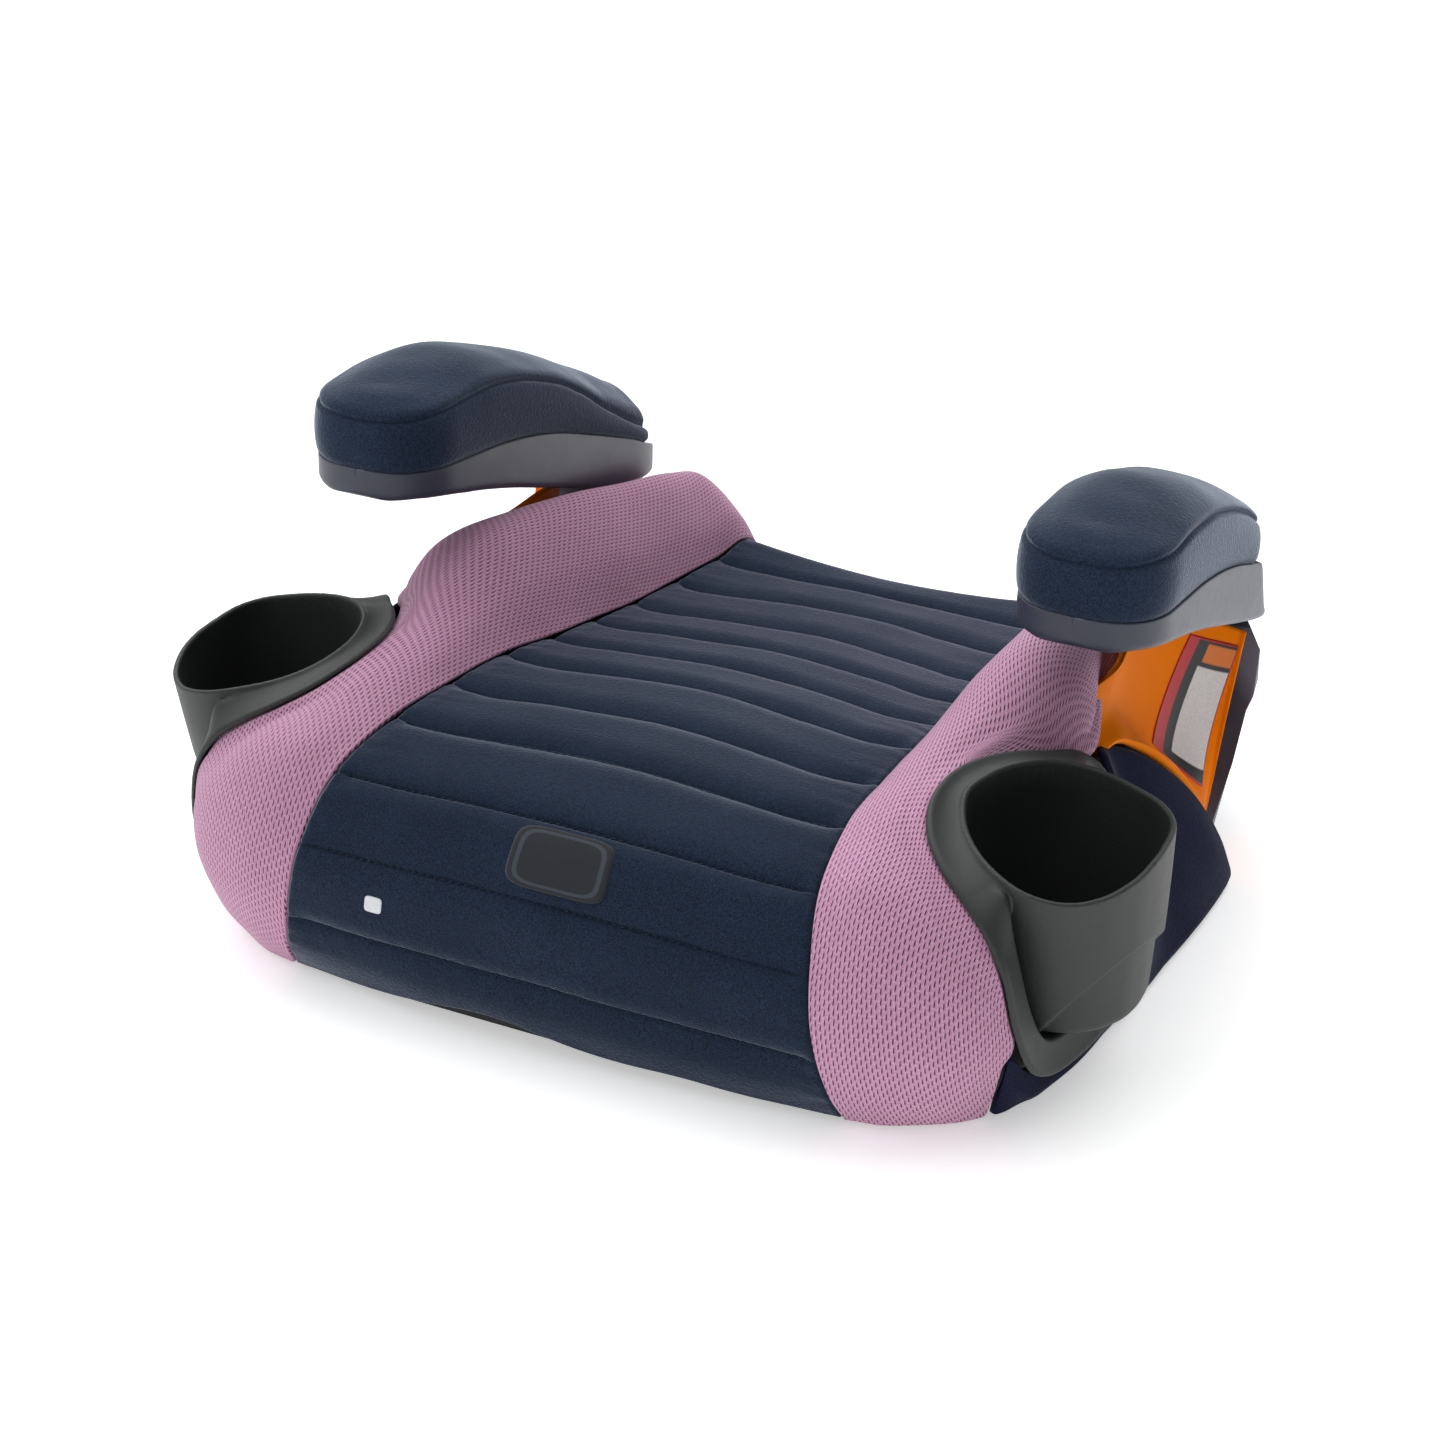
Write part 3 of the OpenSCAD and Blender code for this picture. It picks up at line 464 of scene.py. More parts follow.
M_BLACK = plastic("black_moulded_plastic", lin((30, 31, 36)), lin((38, 39, 44)), rough=0.55, grain=0.3)
M_RUBBER = plastic("foot_rubber", lin((24, 24, 26)), lin((32, 32, 34)), rough=0.8, grain=0.5)
M_THREAD = cloth_knit("navy_thread", lin((18, 27, 42)), lin((44, 57, 78)), sheen=0.1)
M_PIPE = cloth_knit("seam_thread_dark", lin((14, 20, 30)), lin((30, 40, 54)), sheen=0.1)


def mat_steel():
    q = Mat("zinc_steel", rough=0.35, metal=1.0)
    s = q.noise(400, 3.0)
    q.color(q.ramp(s, 0.3, 0.7, lin((165, 168, 172)), lin((196, 198, 202))))
    q.rough(q.mapr(s, 0.3, 0.7, 0.28, 0.45))
    q.normal(q.bump(s, 0.15, 0.0002))
    return q.m


def mat_foam():
    q = Mat("cut_foam", rough=0.95, spec=0.1)
    s = q.noise(700, 4.0, 0.7)
    q.color(q.ramp(s, 0.3, 0.7, lin((172, 166, 150)), lin((208, 202, 186))))
    q.rough(q.mapr(s, 0.3, 0.7, 0.88, 0.99))
    q.normal(q.bump(s, 0.8, 0.0008))
    return q.m


def mat_patch():
    """Plain woven patch: fine twill with a sewn border in its own colour."""
    q = Mat("woven_patch", rough=0.7, spec=0.3, sheen=0.2)
    x, y, _ = q.xyz(q.cloth())
    w = q.math("SINE", q.math("MULTIPLY", q.math("ADD", x, y), 2 * math.pi / 0.0009))
    w2 = q.math("SINE", q.math("MULTIPLY", q.math("SUBTRACT", x, y), 2 * math.pi / 0.0009))
    tw = q.math("MULTIPLY", w, w2)
    c = q.ramp(q.mapr(tw, -1, 1, 0, 1), 0.2, 0.8, lin((22, 24, 30)), lin((46, 50, 58)))
    _, _, e = q.xyz(q.cloth())
    ring = q.math("MULTIPLY", q.mapr(e, 0.0012, 0.0014, 0, 1), q.mapr(e, 0.0021, 0.0023, 1, 0))
    c = q.mix(ring, c, lin((64, 70, 80)))
    q.color(c)
    q.rough(q.mapr(tw, -1, 1, 0.62, 0.8))
    q.normal(q.bump(tw, 0.4, 0.0003))
    return q.m


def mat_label():
    """Printed film with plain colour blocks only."""
    q = Mat("label_film", rough=0.4, spec=0.4)
    t, w, _ = q.xyz(q.cloth())
    def band(v, a, b, s=0.006):
        return q.math("MULTIPLY", q.mapr(v, a - s, a + s, 0, 1), q.mapr(v, b - s, b + s, 1, 0))
    fine = q.noise(900, 2.0)
    white = q.ramp(fine, 0.3, 0.7, lin((214, 214, 214)), lin((232, 232, 232)))
    c = q.mix(0.0, lin((40, 40, 44)), lin((40, 40, 44)))
    c = q.mix(q.math("MULTIPLY", band(t, 0.34, 0.966), band(w, 0.21, 0.88)), c, white)
    c = q.mix(q.math("MULTIPLY", band(t, 0.38, 0.966), band(w, 0.04, 0.175)), c, lin((226, 122, 28)))
    c = q.mix(band(t, -1, 0.19), c, lin((196, 34, 46)))
    rim = q.math("MAXIMUM", q.math("MAXIMUM", band(t, 0.972, 2), band(w, -1, 0.018)), band(w, 0.982, 2))
    c = q.mix(rim, c, lin((196, 34, 46)))
    q.color(c)
    q.rough(q.mapr(fine, 0.3, 0.7, 0.34, 0.46))
    q.normal(q.bump(fine, 0.08, 0.0002))
    return q.m


M_STEEL, M_FOAM, M_PATCH, M_LABEL = mat_steel(), mat_foam(), mat_patch(), mat_label()
M_TAB = cloth_knit("pale_tab_film", lin((214, 216, 220)), lin((240, 241, 244)), sheen=0.05, grain=0.3)

for name, ob in N.items():
    if name.endswith("screws"):
        mt = M_STEEL
    elif name.startswith(("base_", "cup_bracket")):
        mt = M_BLACK
    elif "foam" in name:
        mt = M_FOAM
    elif name == "foot_pads":
        mt = M_RUBBER
    else:
        mt = M_SLATE
    ob.data.materials.clear()
    ob.data.materials.append(mt)

# ------------------------------------------------------------------ quilted centre panel
LINES = [1.55, 3, 4, 5, 6, 7, 8, 9, 10, 11, 12, 13.35]


def wave(X, V):
    """How far a sewn line strays towards the rear, in stations, at X mm from the middle."""
    a = np.clip(np.abs(X) / 95, 0, 1.3)
    w = 0.5 * (1 + np.cos(math.pi * np.clip(a / 0.72, 0, 1))) - 0.42 * np.exp(-((a - 0.80) / 0.16) ** 2)
    return w * lerp(0.02, 0.24, sstep(3.5, 8, V)) * lerp(1, 0.6, sstep(10.5, 12.5, V))


def fullness(V):
    return lerp(2.3, 4.6, sstep(3.0, 5.5, V))


def quilt(X, V):
    """Height of the quilting over the base surface, and the distance to the nearest sewn line."""
    psi = V - wave(X, V)
    ln = np.array([-0.6] + LINES + [15.6])
    k = np.clip(np.searchsorted(ln, psi, side="right") - 1, 0, len(ln) - 2)
    lo, hi = ln[k], ln[k + 1]
    t = (psi - lo) / (hi - lo)
    mm = np.where(k == 0, 20.0, np.where(V > 12.8, 26.0, 41.0))
    d = np.minimum(t, 1 - t) * (hi - lo) * mm
    first = (psi < LINES[0]) & (t < 0.5)
    last = (psi > LINES[-1]) & (t > 0.5)
    d = np.where(first | last, 14, d)
    z = np.clip(d / 15.0, 0, 1)
    h = 1 - (1 - z) ** 2.5
    # the front side of each channel is fuller than the rear side
    h = h * (1 - 0.10 * np.cos(math.pi * t))
    return h, d, psi


nU, nV = 170, 1250
U, V = np.meshgrid(np.linspace(0.003, 3.997, nU), np.linspace(0, 15, nV))
# the front hem is drawn up a little near the middle
Xc = (U - 2) / 2 * 125
hem = 0.42 * np.exp(-((Xc + 26) / 34) ** 2) + 0.10 * np.exp(-((Xc - 60) / 20) ** 2)
V = V + hem * np.clip(1 - V / 1.2, 0, 1) ** 1.5
S = sheet(panel, U, V)
NR = nrm(panel, U, V)
au, av = arcs(S)
X = S[..., 0]
edge = np.minimum(au, au[:, -1:] - au)
ends = np.minimum(av, av[-1:] - av)
hq, dq, psi = quilt(X, V)
fade = sstep(0, 9, edge) * 0.75 + 0.25
amp = fullness(V)
pucker = 0.32 * np.exp(-dq / 5.0) * wob(X, V * 6, 3, 8.5) * sstep(0, 6, dq + 2)
relief = (hq - 0.78) * amp * fade - 0.42 * np.exp(-(dq / 0.9) ** 2) + pucker + 0.35 * wob(X, av[:, :1] + 0 * X, 5, 60) - 0.35
relief -= roll(edge, 1.2) + roll(ends, 2.2)
# faint drag lines from the seams
relief += 0.18 * np.exp(-edge / 14) * wob(X * 0.3, av, 8, 9)
top = S + NR * relief[..., None]
bot = S - NR * 3.6
cloth = np.stack([(X) * 0.001, av * 0.001, 0 * X], -1)
o_centre = slab("quilted_centre_panel", top, bot, M_NAVY, cloth=cloth)
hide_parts("centre_cover")

# stitches along the sewn lines
P_, T_, N_ = [], [], []
for li, L in enumerate(LINES):
    xs = np.linspace(-100, 100, 800)
    v = np.full_like(xs, L)
    u = 2 + xs / 60
    for _ in range(6):
        s = sheet(panel, np.clip(u, 0, 4), v)
        half = np.abs(sheet(panel, np.full_like(v, 4.0), v)[:, 0])
        u = u + (xs * half / 104 - s[:, 0]) / (half / 2)
        v = L + wave(xs * half / 104, v)
    keep = np.abs(u - 2) < 1.94
    u, v = u[keep], v[keep]
    s = sheet(panel, u, v)
    nn = nrm(panel, u, v)
    xx = s[:, 0]
    half = np.abs(sheet(panel, np.full_like(v, 4.0), v)[:, 0])
    ed = half - np.abs(xx)
    am = fullness(v)
    off = -0.78 * am * (sstep(0, 9, ed) * 0.75 + 0.25) - 0.35 - roll(ed, 1.2)
    s = s + nn * off[:, None]
    arc = np.concatenate([[0], np.cumsum(np.linalg.norm(np.diff(s, axis=0), axis=1))])
    for q in np.arange(1.5, arc[-1] - 1, 3.5):
        i = min(np.searchsorted(arc, q), len(s) - 2)
        P_.append(s[i]); T_.append(unit(s[i + 1] - s[i - 1])); N_.append(nn[i])
o = threads("quilting_stitches", P_, T_, N_, M_THREAD, length=2.2, rad=0.42, lift=0.05)

# ------------------------------------------------------------------ outlines of the cup holder
cx, cy, cup_rx, cup_ry, cup_wall, cup_bottom = 181.5, -111.0, 37.5, 44.0, 2.6, 33.0
# inner edge of the mouth: across and along as shares of the half sizes, and the height
rim_pts = np.array([[1, 0.3, 109], [0.95, 0.66, 110.5], [0.76, 0.875, 112.5], [0.47, 0.955, 115], [0.12, 1, 117.5], [-0.23, 1, 119],
  [-0.52, 0.89, 120], [-0.76, 0.66, 120.5], [-0.93, 0.34, 120.5], [-1, -0.02, 119.5], [-0.87, -0.36, 115.5], [-0.63, -0.64, 112],
  [-0.31, -0.875, 109.5], [0.07, -1, 106.5], [0.44, -0.92, 104], [0.73, -0.68, 104], [0.92, -0.34, 106], [0.99, -0.02, 108]])
rim_pts = np.stack([cx + rim_pts[:, 0] * cup_rx, cy + rim_pts[:, 1] * cup_ry, rim_pts[:, 2]], -1)


def loop_at(P, s):
    n = len(P)
    s = np.asarray(s, float) % n
    i = np.floor(s).astype(int)
    w = wts(s - i)
    return sum(w[..., a, None] * P[(i + a - 1) % n] for a in range(4))


def mouth(s, d):
    """Point round the mouth, pushed outwards by d."""
    p, q = loop_at(rim_pts, s), loop_at(rim_pts, np.asarray(s) + 0.1)
    t = unit((q - p)[..., :2])
    return np.stack([p[..., 0] + t[..., 1] * d, p[..., 1] - t[..., 0] * d, p[..., 2]], -1)


edge_pts = np.array([[165, -40, 113], [155, -53, 116.5], [147.5, -63, 119], [139.5, -76, 121], [133.5, -92, 122], [131.5, -110, 122], [133.5, -128, 120], [140, -144, 115],
  [150, -156, 109], [162, -164, 101.5], [174, -169, 91], [184, -169, 77], [189.5, -165, 52], [193, -154, 30], [196, -138, 19], [199, -118, 15],
  [202, -94, 15], [204, -72, 20], [204, -53, 38], [197, -41, 62], [187, -34, 86], [176, -34, 104]], float)
root_pts = mouth(np.array([4.6, 5.4, 6.1, 6.9, 7.8, 8.8, 9.7, 10.5, 11.4, 12.2, 12.8]), 1.4) - np.array([0, 0, 0.5])
root_pts = np.concatenate([root_pts, [[184, -149, 80], [188, -142, 56], [191, -134, 41], [192, -128, 36], [194, -114, 34.2], [196, -95, 34.2],
  [198, -72, 37], [198, -64, 50], [191, -63, 68], [182, -63, 90], [176, -63, 107]]])

# ------------------------------------------------------------------ mesh bolsters
nU, nV = 140, 520
U, V = np.meshgrid(np.linspace(0, 1, nU), np.linspace(0, 15, nV))
U = 0.5 - 0.5 * np.cos(math.pi * U) * (0.75 + 0.25 * np.abs(np.cos(math.pi * U)))
U = 0.003 + U * 3.997
S = sheet(bolster, U, V)
# beside the cup holder the cloth is drawn to the flange's edge and runs on under it
vv = V[:, 0]
se = np.linspace(3.6, 14.4, 900)
fe, fr = loop_at(edge_pts, se), loop_at(root_pts, se)
fc = unit(fr - fe)
fn = unit(np.cross(unit(loop_at(edge_pts, se + 0.2) - fe), fc))
near = se[np.argmin(np.linalg.norm(S[:, -1][:, None] - fe[None], axis=-1), 1)]
for _ in range(60):
    near[1:-1] = (near[:-2] + 2 * near[1:-1] + near[2:]) / 4
at = lambda q: np.stack([np.interp(near, se, q[:, a]) for a in range(3)], -1)
held = (sstep(1.5, 2.3, vv) * (1 - sstep(6.5, 7.5, vv)))[:, None]
tgt = at(fe) - at(fn) * 3.6
S = S + (sstep(2.9, 4.0, U) * held)[..., None] * (tgt - S[:, -1])[:, None]
run = unit(lerp(unit(S[:, -1] - S[:, -3]), at(fc) - 0.25 * at(fn), held))
extra = np.linspace(0, 1, 9)[1:]
S = np.concatenate([S, S[:, -1:] + run[:, None] * (extra[None] * (0.4 + 5.6 * held))[..., None]], 1)
U = np.concatenate([U, np.full((nV, 8), 4.0)], 1)
V = np.concatenate([V, np.repeat(V[:, :1], 8, 1)], 1)
NR = unit(np.cross(np.gradient(S, axis=1), np.gradient(S, axis=0)))
nU += 8
au, av = arcs(S)
edge = au
oedge = au[:, -1:] - au
ends = np.minimum(av, av[-1:] - av)
relief = 0.45 * wob(au, av, 11, 70) + 0.15 * wob(au, av, 12, 24) * np.exp(-edge / 25)
relief *= 1 - held * sstep(3.2, 3.9, U)
relief -= roll(edge, 1.1) + roll(oedge, lerp(3.3, 1.2, held)) + roll(ends, 2.0)
# a soft crease where the cloth turns down behind the cup holder, under the armrest
fold = np.exp(-((V - 8.6) / 0.9) ** 2) * sstep(3.0, 3.6, U)
relief -= fold * 1.3 * np.exp(-((oedge - 9) / 2.6) ** 2)
top = S + NR * relief[..., None]
bot = S - NR * 3.6
# the cloth is cut with its strands running straight back, so the seam crosses them
ref = int(3.5 / 15 * (nV - 1))
cloth = np.stack([(S[:, :1, 0] + au) * 0.001, (av - av[ref:ref + 1]) * 0.001, 0 * au], -1)
cloth2 = cloth + np.array([0, 0, 1.0])
for left in (False, True):
    sfx = "left" if left else "right"
    o = slab("mesh_bolster_" + sfx, top, bot, M_MESH, cloth=cloth, cloth2=cloth2, left=left)
    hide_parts("bolster_cover_" + sfx)

# ------------------------------------------------------------------ side panels
nU, nV = 40, 420
U, V = np.meshgrid(np.linspace(0, 2, nU), np.linspace(0, 16, nV))
# it runs up a little behind the lower tip of the flange
side_v = side.copy()
side_v[2, 0], side_v[3, 0], side_v[4, 0], side_v[5, 0] = (187.5, -157, 34), (188.5, -149, 26), (189.5, -138, 21), (194, -113, 13)
S = sheet(side_v, U, V)
NR = nrm(side_v, U, V)
au, av = arcs(S)
edge = np.minimum(au, au[:, -1:] - au)
ends = np.minimum(av, av[-1:] - av)
r_ = np.minimum(2.4, au[:, -1:] * 0.3)
relief = 0.25 * wob(S[..., 1], S[..., 2], 21, 55) - roll(edge / r_ * 2.4, 2.4) * (r_ / 2.4) - roll(ends, 1.5)
top = S + NR * relief[..., None]
bot = S - NR * 3.6
cloth = np.stack([au * 0.001, av * 0.001, 0 * au], -1)
for left in (False, True):
    sfx = "left" if left else "right"
    o = slab("side_cloth_" + sfx, top, bot, M_SIDE, cloth=cloth, left=left)
    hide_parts("side_panel_" + sfx)

# ------------------------------------------------------------------ front patch and tab
def relief_at(u, v):
    s = sheet(panel, u, v)
    h, d, _ = quilt(s[..., 0], v)
    am = fullness(v)
    return (h - 0.78) * am - 0.35


def badge(name, u0, u1, v0, v1, n, d, r, mat, rep, up=0.9):
    """A thin sewn-on piece with rounded corners that follows the quilting softly."""
    a = np.linspace(-1, 1, n)
    A, B = np.meshgrid(a, a)
    # square to rounded square
    s = np.maximum(np.abs(A), np.abs(B))
    th = np.arctan2(B, A)
    p = 5.0
    q = (np.abs(np.cos(th)) ** p + np.abs(np.sin(th)) ** p) ** (-1 / p)
    A2, B2 = s * q * np.cos(th), s * q * np.sin(th)
    u = (u0 + u1) / 2 + A2 * (u1 - u0) / 2
    v = (v0 + v1) / 2 + B2 * (v1 - v0) / 2
    S = sheet(panel, u, v)
    NR = nrm(panel, u, v)
    rel = relief_at(u, v)
    base = rel * 0.35 + 0.2
    size = min(np.ptp(S[..., 0]), np.ptp(S[..., 2])) / 2
    e = (1 - s) * size
    h = base + up - roll(e, r)
    top = S + NR * h[..., None]
    bot = S + NR * (base - d)[..., None]
    cloth = np.stack([S[..., 0] * 0.001, (v - v0) * 0.026, e * 0.001], -1)
    o = slab(name, top, bot, mat, cloth=cloth)
    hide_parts(rep)
    return o


badge("woven_patch", 1.67, 2.47, 3.18, 3.92, 61, 1.6, 0.8, M_PATCH, "cover_patch")
badge("pale_tab", 0.64, 0.78, 2.15, 2.45, 25, 1.2, 0.4, M_TAB, "cover_tab", up=0.5)

# ------------------------------------------------------------------ armrests
arm_x, arm_hw = 165.0, 32.0
arm_top = [[-66, 181], [-46, 180], [-20, 178], [17, 174], [57, 165.5], [98, 152], [140, 137], [176, 122], [196, 116]]
arm_bot = [[-66, 167.5], [-50, 167], [-20, 160.5], [17, 150.5], [54, 138.5], [89, 127], [120, 117.5], [150, 111], [186, 106.5], [200, 105.5]]
pad_seam = [[-66, 203.5], [-50, 204.5], [-18, 205.5], [17, 202], [51, 192.5], [81, 179], [120, 156.5], [153, 139.5], [176, 129]]
pad_top = [[-66, 208.5], [-54, 210.5], [-40, 213.5], [-18, 216.5], [8, 216.5], [38, 209], [66, 199], [95, 186], [120, 174], [142, 160], [160, 147], [178, 133]]


def swept(x, y, lim, k=1.0):
    """The outer rear corner is swept inwards, with a crisp change of direction."""
    l = (lim - 0.43 * y) / 0.9
    return -k * np.log(np.exp(-(x - 190) / k) + np.exp(-(l - 190) / k)) + 190


def front_s(n, first=0.02):
    """Stations of the blunt front end, evenly spread round its corner."""
    ph = np.linspace(first, math.pi / 2, n)
    return 0.15 * (1 - (1 - np.sin(ph) ** 2.5) ** 0.4)


def plan(s):
    """Middle line, half width share and skew of the end line, at station s."""
    t = np.minimum(s / 0.15, 1)
    f = (1 - (1 - t) ** 2.5) ** 0.8
    g = 1 - np.maximum(0, (s - 0.8) / 0.2) ** 3 * 0.34
    return -65 + 233 * s, np.sqrt(f) * g, -0.6 * np.maximum(0, (s - 0.25) / 0.75) ** 1.5


def welded(o, dist=2e-6):
    bm = bmesh.new()
    bm.from_mesh(o.data)
    bmesh.ops.remove_doubles(bm, verts=bm.verts, dist=dist)
    bmesh.ops.dissolve_degenerate(bm, edges=bm.edges, dist=1e-7)
    bmesh.ops.recalc_face_normals(bm, faces=bm.faces)
    bm.to_mesh(o.data)
    bm.free()
    o.data.polygons.foreach_set("use_smooth", [True] * len(o.data.polygons))
    return o


def arm_shell_rings():
    sv = np.concatenate([front_s(44, 0.03), np.linspace(0.155, 1.0, 96)])
    rings = []
    for s in sv:
        y0, wf, sk = plan(s)
        w = arm_hw * wf
        ahead = 233 * s
        r = min(3.6, 0.5 * w)
        # the bottom edge is rounded at the front end too
        lift = 3.6 * (1 - math.sqrt(max(0.0, 1 - (1 - min(ahead / 3.6, 1)) ** 2)))
        wall = min(2.4, w * 0.45)
        deep = 4.6 * float(sstep(1.6, 3.0, ahead))
        rim = float(sstep(0.5, 1.4, ahead))
        low = max(0.3, (r + 0.5) / float(curve(arm_top, y0) - curve(arm_bot, y0) - lift))
        x, zz = [], []          # across, and [share of height, mm over it]
        for t in np.linspace(0, 1, 9):
            x.append((w - r) * t); zz.append((0, 0.0))
        for a in np.linspace(12, 90, 7):
            x.append(w - r + r * math.sin(math.radians(a))); zz.append((0, r * (1 - math.cos(math.radians(a)))))
        for t in np.linspace(low, 0.9, 8):
            x.append(w); zz.append((t, 0.0))
        for a in np.linspace(0, 180, 11):
            x.append(w - wall / 2 + wall / 2 * math.cos(math.radians(a))); zz.append((1, (-1 + math.sin(math.radians(a))) * min(0.8, wall / 2) * (1 if a <= 90 else rim)))
        x.append(w - wall); zz.append((1, -0.8 * rim - deep * 0.5))
        x.append(w - wall); zz.append((1, -0.8 * rim - deep))
        x.append(0.0); zz.append((1, -0.8 * rim - deep))
        x = np.array(x)
        sh = np.array([q[0] for q in zz]); mm = np.array([q[1] for q in zz])
        halves = []
        for sgn in (1, -1):
            xx = sgn * x
            yy = y0 + sk * xx
            lo, hi = curve(arm_bot, yy) + lift, curve(arm_top, yy)
            z = lo + (hi - lo) * sh + mm
            halves.append(np.stack([swept(arm_x + xx, yy, 223.5 + 7 * (1 - sh)), yy, z], -1))
        a, b = halves
        rings.append(np.concatenate([a, b[::-1][1:-1]]))
    return np.array(rings)


SH = arm_shell_rings()
for left in (False, True):
    sfx = "left" if left else "right"
    o = welded(loft("armrest_shell_" + sfx + "_skin", SH, M_SLATE, left=left))
    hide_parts("armrest_shell_" + sfx)


def pad_grid():
    """Side band and crowned top panel, walked round the plan outline, sewn together all the way round."""
    tail = np.linspace(0, math.pi / 2, 26)
    sv = np.concatenate([front_s(50), np.linspace(0.155, 0.88, 100), 0.88 + 0.058 * np.sin(tail[1:])])
    y0, wf, sk = plan(sv)
    wf[-25:] *= np.cos(tail[1:])
    w = np.maximum((arm_hw - 0.4) * wf, 0)
    # plan outline, both sides, and its outward direction
    side_ = []
    for sgn in (1, -1):
        yy = y0 + sk * sgn * w
        side_.append(np.stack([swept(arm_x + sgn * w, yy, 217), yy], -1))
    R, L = side_
    loop = np.concatenate([R, L[::-1][1:-1]])
    tg = np.roll(loop, -1, 0) - np.roll(loop, 1, 0)
    nn = unit(np.stack([tg[:, 1], -tg[:, 0]], -1))
    for _ in range(3):
        nn = unit(nn + 0.5 * (np.roll(nn, 1, 0) + np.roll(nn, -1, 0)))
    # the middle line that each point of the outline is tied to
    sc = np.clip(sv, 0.10, 0.86)
    sc = 0.10 + 0.5 * ((sv - 0.10) + np.sqrt((sv - 0.10) ** 2 + 0.03 ** 2))
    sc = 0.86 - 0.5 * ((0.86 - sc) + np.sqrt((0.86 - sc) ** 2 + 0.03 ** 2))
    yc, wc, skc = plan(sc)
    ca = swept(arm_x + arm_hw * wc, yc + skc * arm_hw * wc, 217)
    C = np.stack([(ca + arm_x - arm_hw * wc) / 2, yc], -1)
    C = np.concatenate([C, C[::-1][1:-1]])
    ss = np.concatenate([sv, sv[::-1][1:-1]])
    b = curve(arm_top, loop[:, 1]) - 1.0
    sm = np.maximum(curve(pad_seam, loop[:, 1]), b + 3.5)
    m_ = len(loop)
    tp = np.maximum(curve(pad_top, C[:, 1]), sm + 0.6)
    tp = np.maximum(tp, tp[(m_ - np.arange(m_)) % m_])
    H = sm - b
    D = np.linalg.norm(C - loop, axis=1)
    end = np.clip((0.938 - ss) / 0.06, 0, 1) ** 0.5
    cols = [np.concatenate([C, b[:, None]], 1)]
    ins = loop - nn * 2.4
    cols.append(np.concatenate([ins, b[:, None]], 1))
    for t in 1 - np.linspace(1, 0, 30) ** 1.7:            # side band from the rim up to the seam
        mm = (1 - t) * H
        out = 1.7 * np.sin(math.pi * np.clip(t, 0, 1)) ** 0.7 * (0.4 + 0.6 * end) - 1.5 * np.exp(-(mm / 0.9) ** 2) - 1.4 * np.exp(-(t * H / 2.0) ** 2)
        p = loop + nn * out[:, None]
        cols.append(np.concatenate([p, (b + H * t - 0.25 * np.exp(-(mm / 0.7) ** 2))[:, None]], 1))
    for u in np.linspace(0, 1, 48)[1:]:                  # top panel from the seam to the middle line
        a = u ** 1.6
        mm = a * D
        f = (1 - (1 - a) ** 2.3) ** 0.86
        puff = 1.5 * (1 - np.exp(-(mm / 1.5) ** 1.3)) * np.exp(-(mm / 14.0)) * end
        own = 1 - float(sstep(0.4, 1.0, a))
        p = loop * (1 - a) + C * a + nn * (own * (-1.5 * np.exp(-(mm / 0.9) ** 2) + 0.9 * np.exp(-((mm - 3.5) / 3.0) ** 2) * end))[:, None]
        cols.append(np.concatenate([p, (sm + (tp - sm) * f + puff * own)[:, None]], 1))
    return np.stack(cols, 1)


PR = pad_grid()
lift_ = np.clip((PR[..., 2] - curve(arm_top, PR[..., 1])) / 20, 0, 1)
PR[..., 2] += 0.3 * wob(PR[..., 0], PR[..., 1], 31, 42) * lift_
k_ = PR.shape[1]
n_ = PR.shape[0]
i_, j_ = np.meshgrid(np.arange(n_), np.arange(k_ - 1), indexing="ij")
a_, b_ = i_ * k_ + j_, ((i_ + 1) % n_) * k_ + j_
PF = np.stack([a_.ravel(), a_.ravel() + 1, b_.ravel() + 1, b_.ravel()], 1)
for left in (False, True):
    sfx = "left" if left else "right"
    o = welded(make("armrest_pad_" + sfx, PR, PF, M_PAD, left=left, fix=False), 3e-5)
    # a closed pad, cover and filling in one
    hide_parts("armrest_cover_" + sfx, "armrest_foam_" + sfx)

# ------------------------------------------------------------------ belt guides, their film and the posts
nU, nV = 70, 190
# its front end is tucked in behind the bolster
guide_v = np.concatenate([[[[154.5, -8, 121], [158.5, -10, 107], [166, -12, 97.5]]], guide])
guide_v[1, 0], guide_v[1, 1] = (157, 10, 121), (160.5, 8, 107)
U, V = np.meshgrid(np.linspace(0, 2, nU), np.linspace(0, 7, nV))
S = sheet(guide_v, U, V)
NR = nrm(guide_v, U, V)
au, av = arcs(S)
lo_e, up_e = au[:, -1:] - au, au
ends_r, ends_f = av[-1:] - av, av
near = np.minimum(lo_e, ends_r)
bead = 1.3 * np.exp(-((near - 1.6) / 1.1) ** 2) * sstep(26, 44, ends_f)
relief = bead - roll(np.minimum(near, ends_f), 1.2)
top = S + NR * relief[..., None]
bot = S - NR * 2.8
for left in (False, True):
    sfx = "left" if left else "right"
    o = slab("belt_guide_" + sfx + "_skin", top, bot, M_ORANGE, left=left)
    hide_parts("belt_guide_" + sfx)
T, W = np.meshgrid(np.linspace(0, 1, 60), np.linspace(0, 1, 90), indexing="ij")
lu = 0.14 + W * (0.88 + 0.36 * T)
lv = 4.41 + 1.46 * T + W * (-1.21 + 0.56 * T)
S = sheet(guide, lu, lv)
NR = nrm(guide, lu, lv)
cloth = np.stack([T, W, 0 * T], -1)
ee = np.minimum(np.minimum(T, 1 - T) * 35, np.minimum(W, 1 - W) * 60)
for left in (False, True):
    sfx = "left" if left else "right"
    o = slab("label_film_" + sfx, S + NR * (0.42 - roll(ee, 0.2))[..., None], S + NR * 0.1, M_LABEL, cloth=cloth, left=left)
    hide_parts("guide_label_" + sfx)


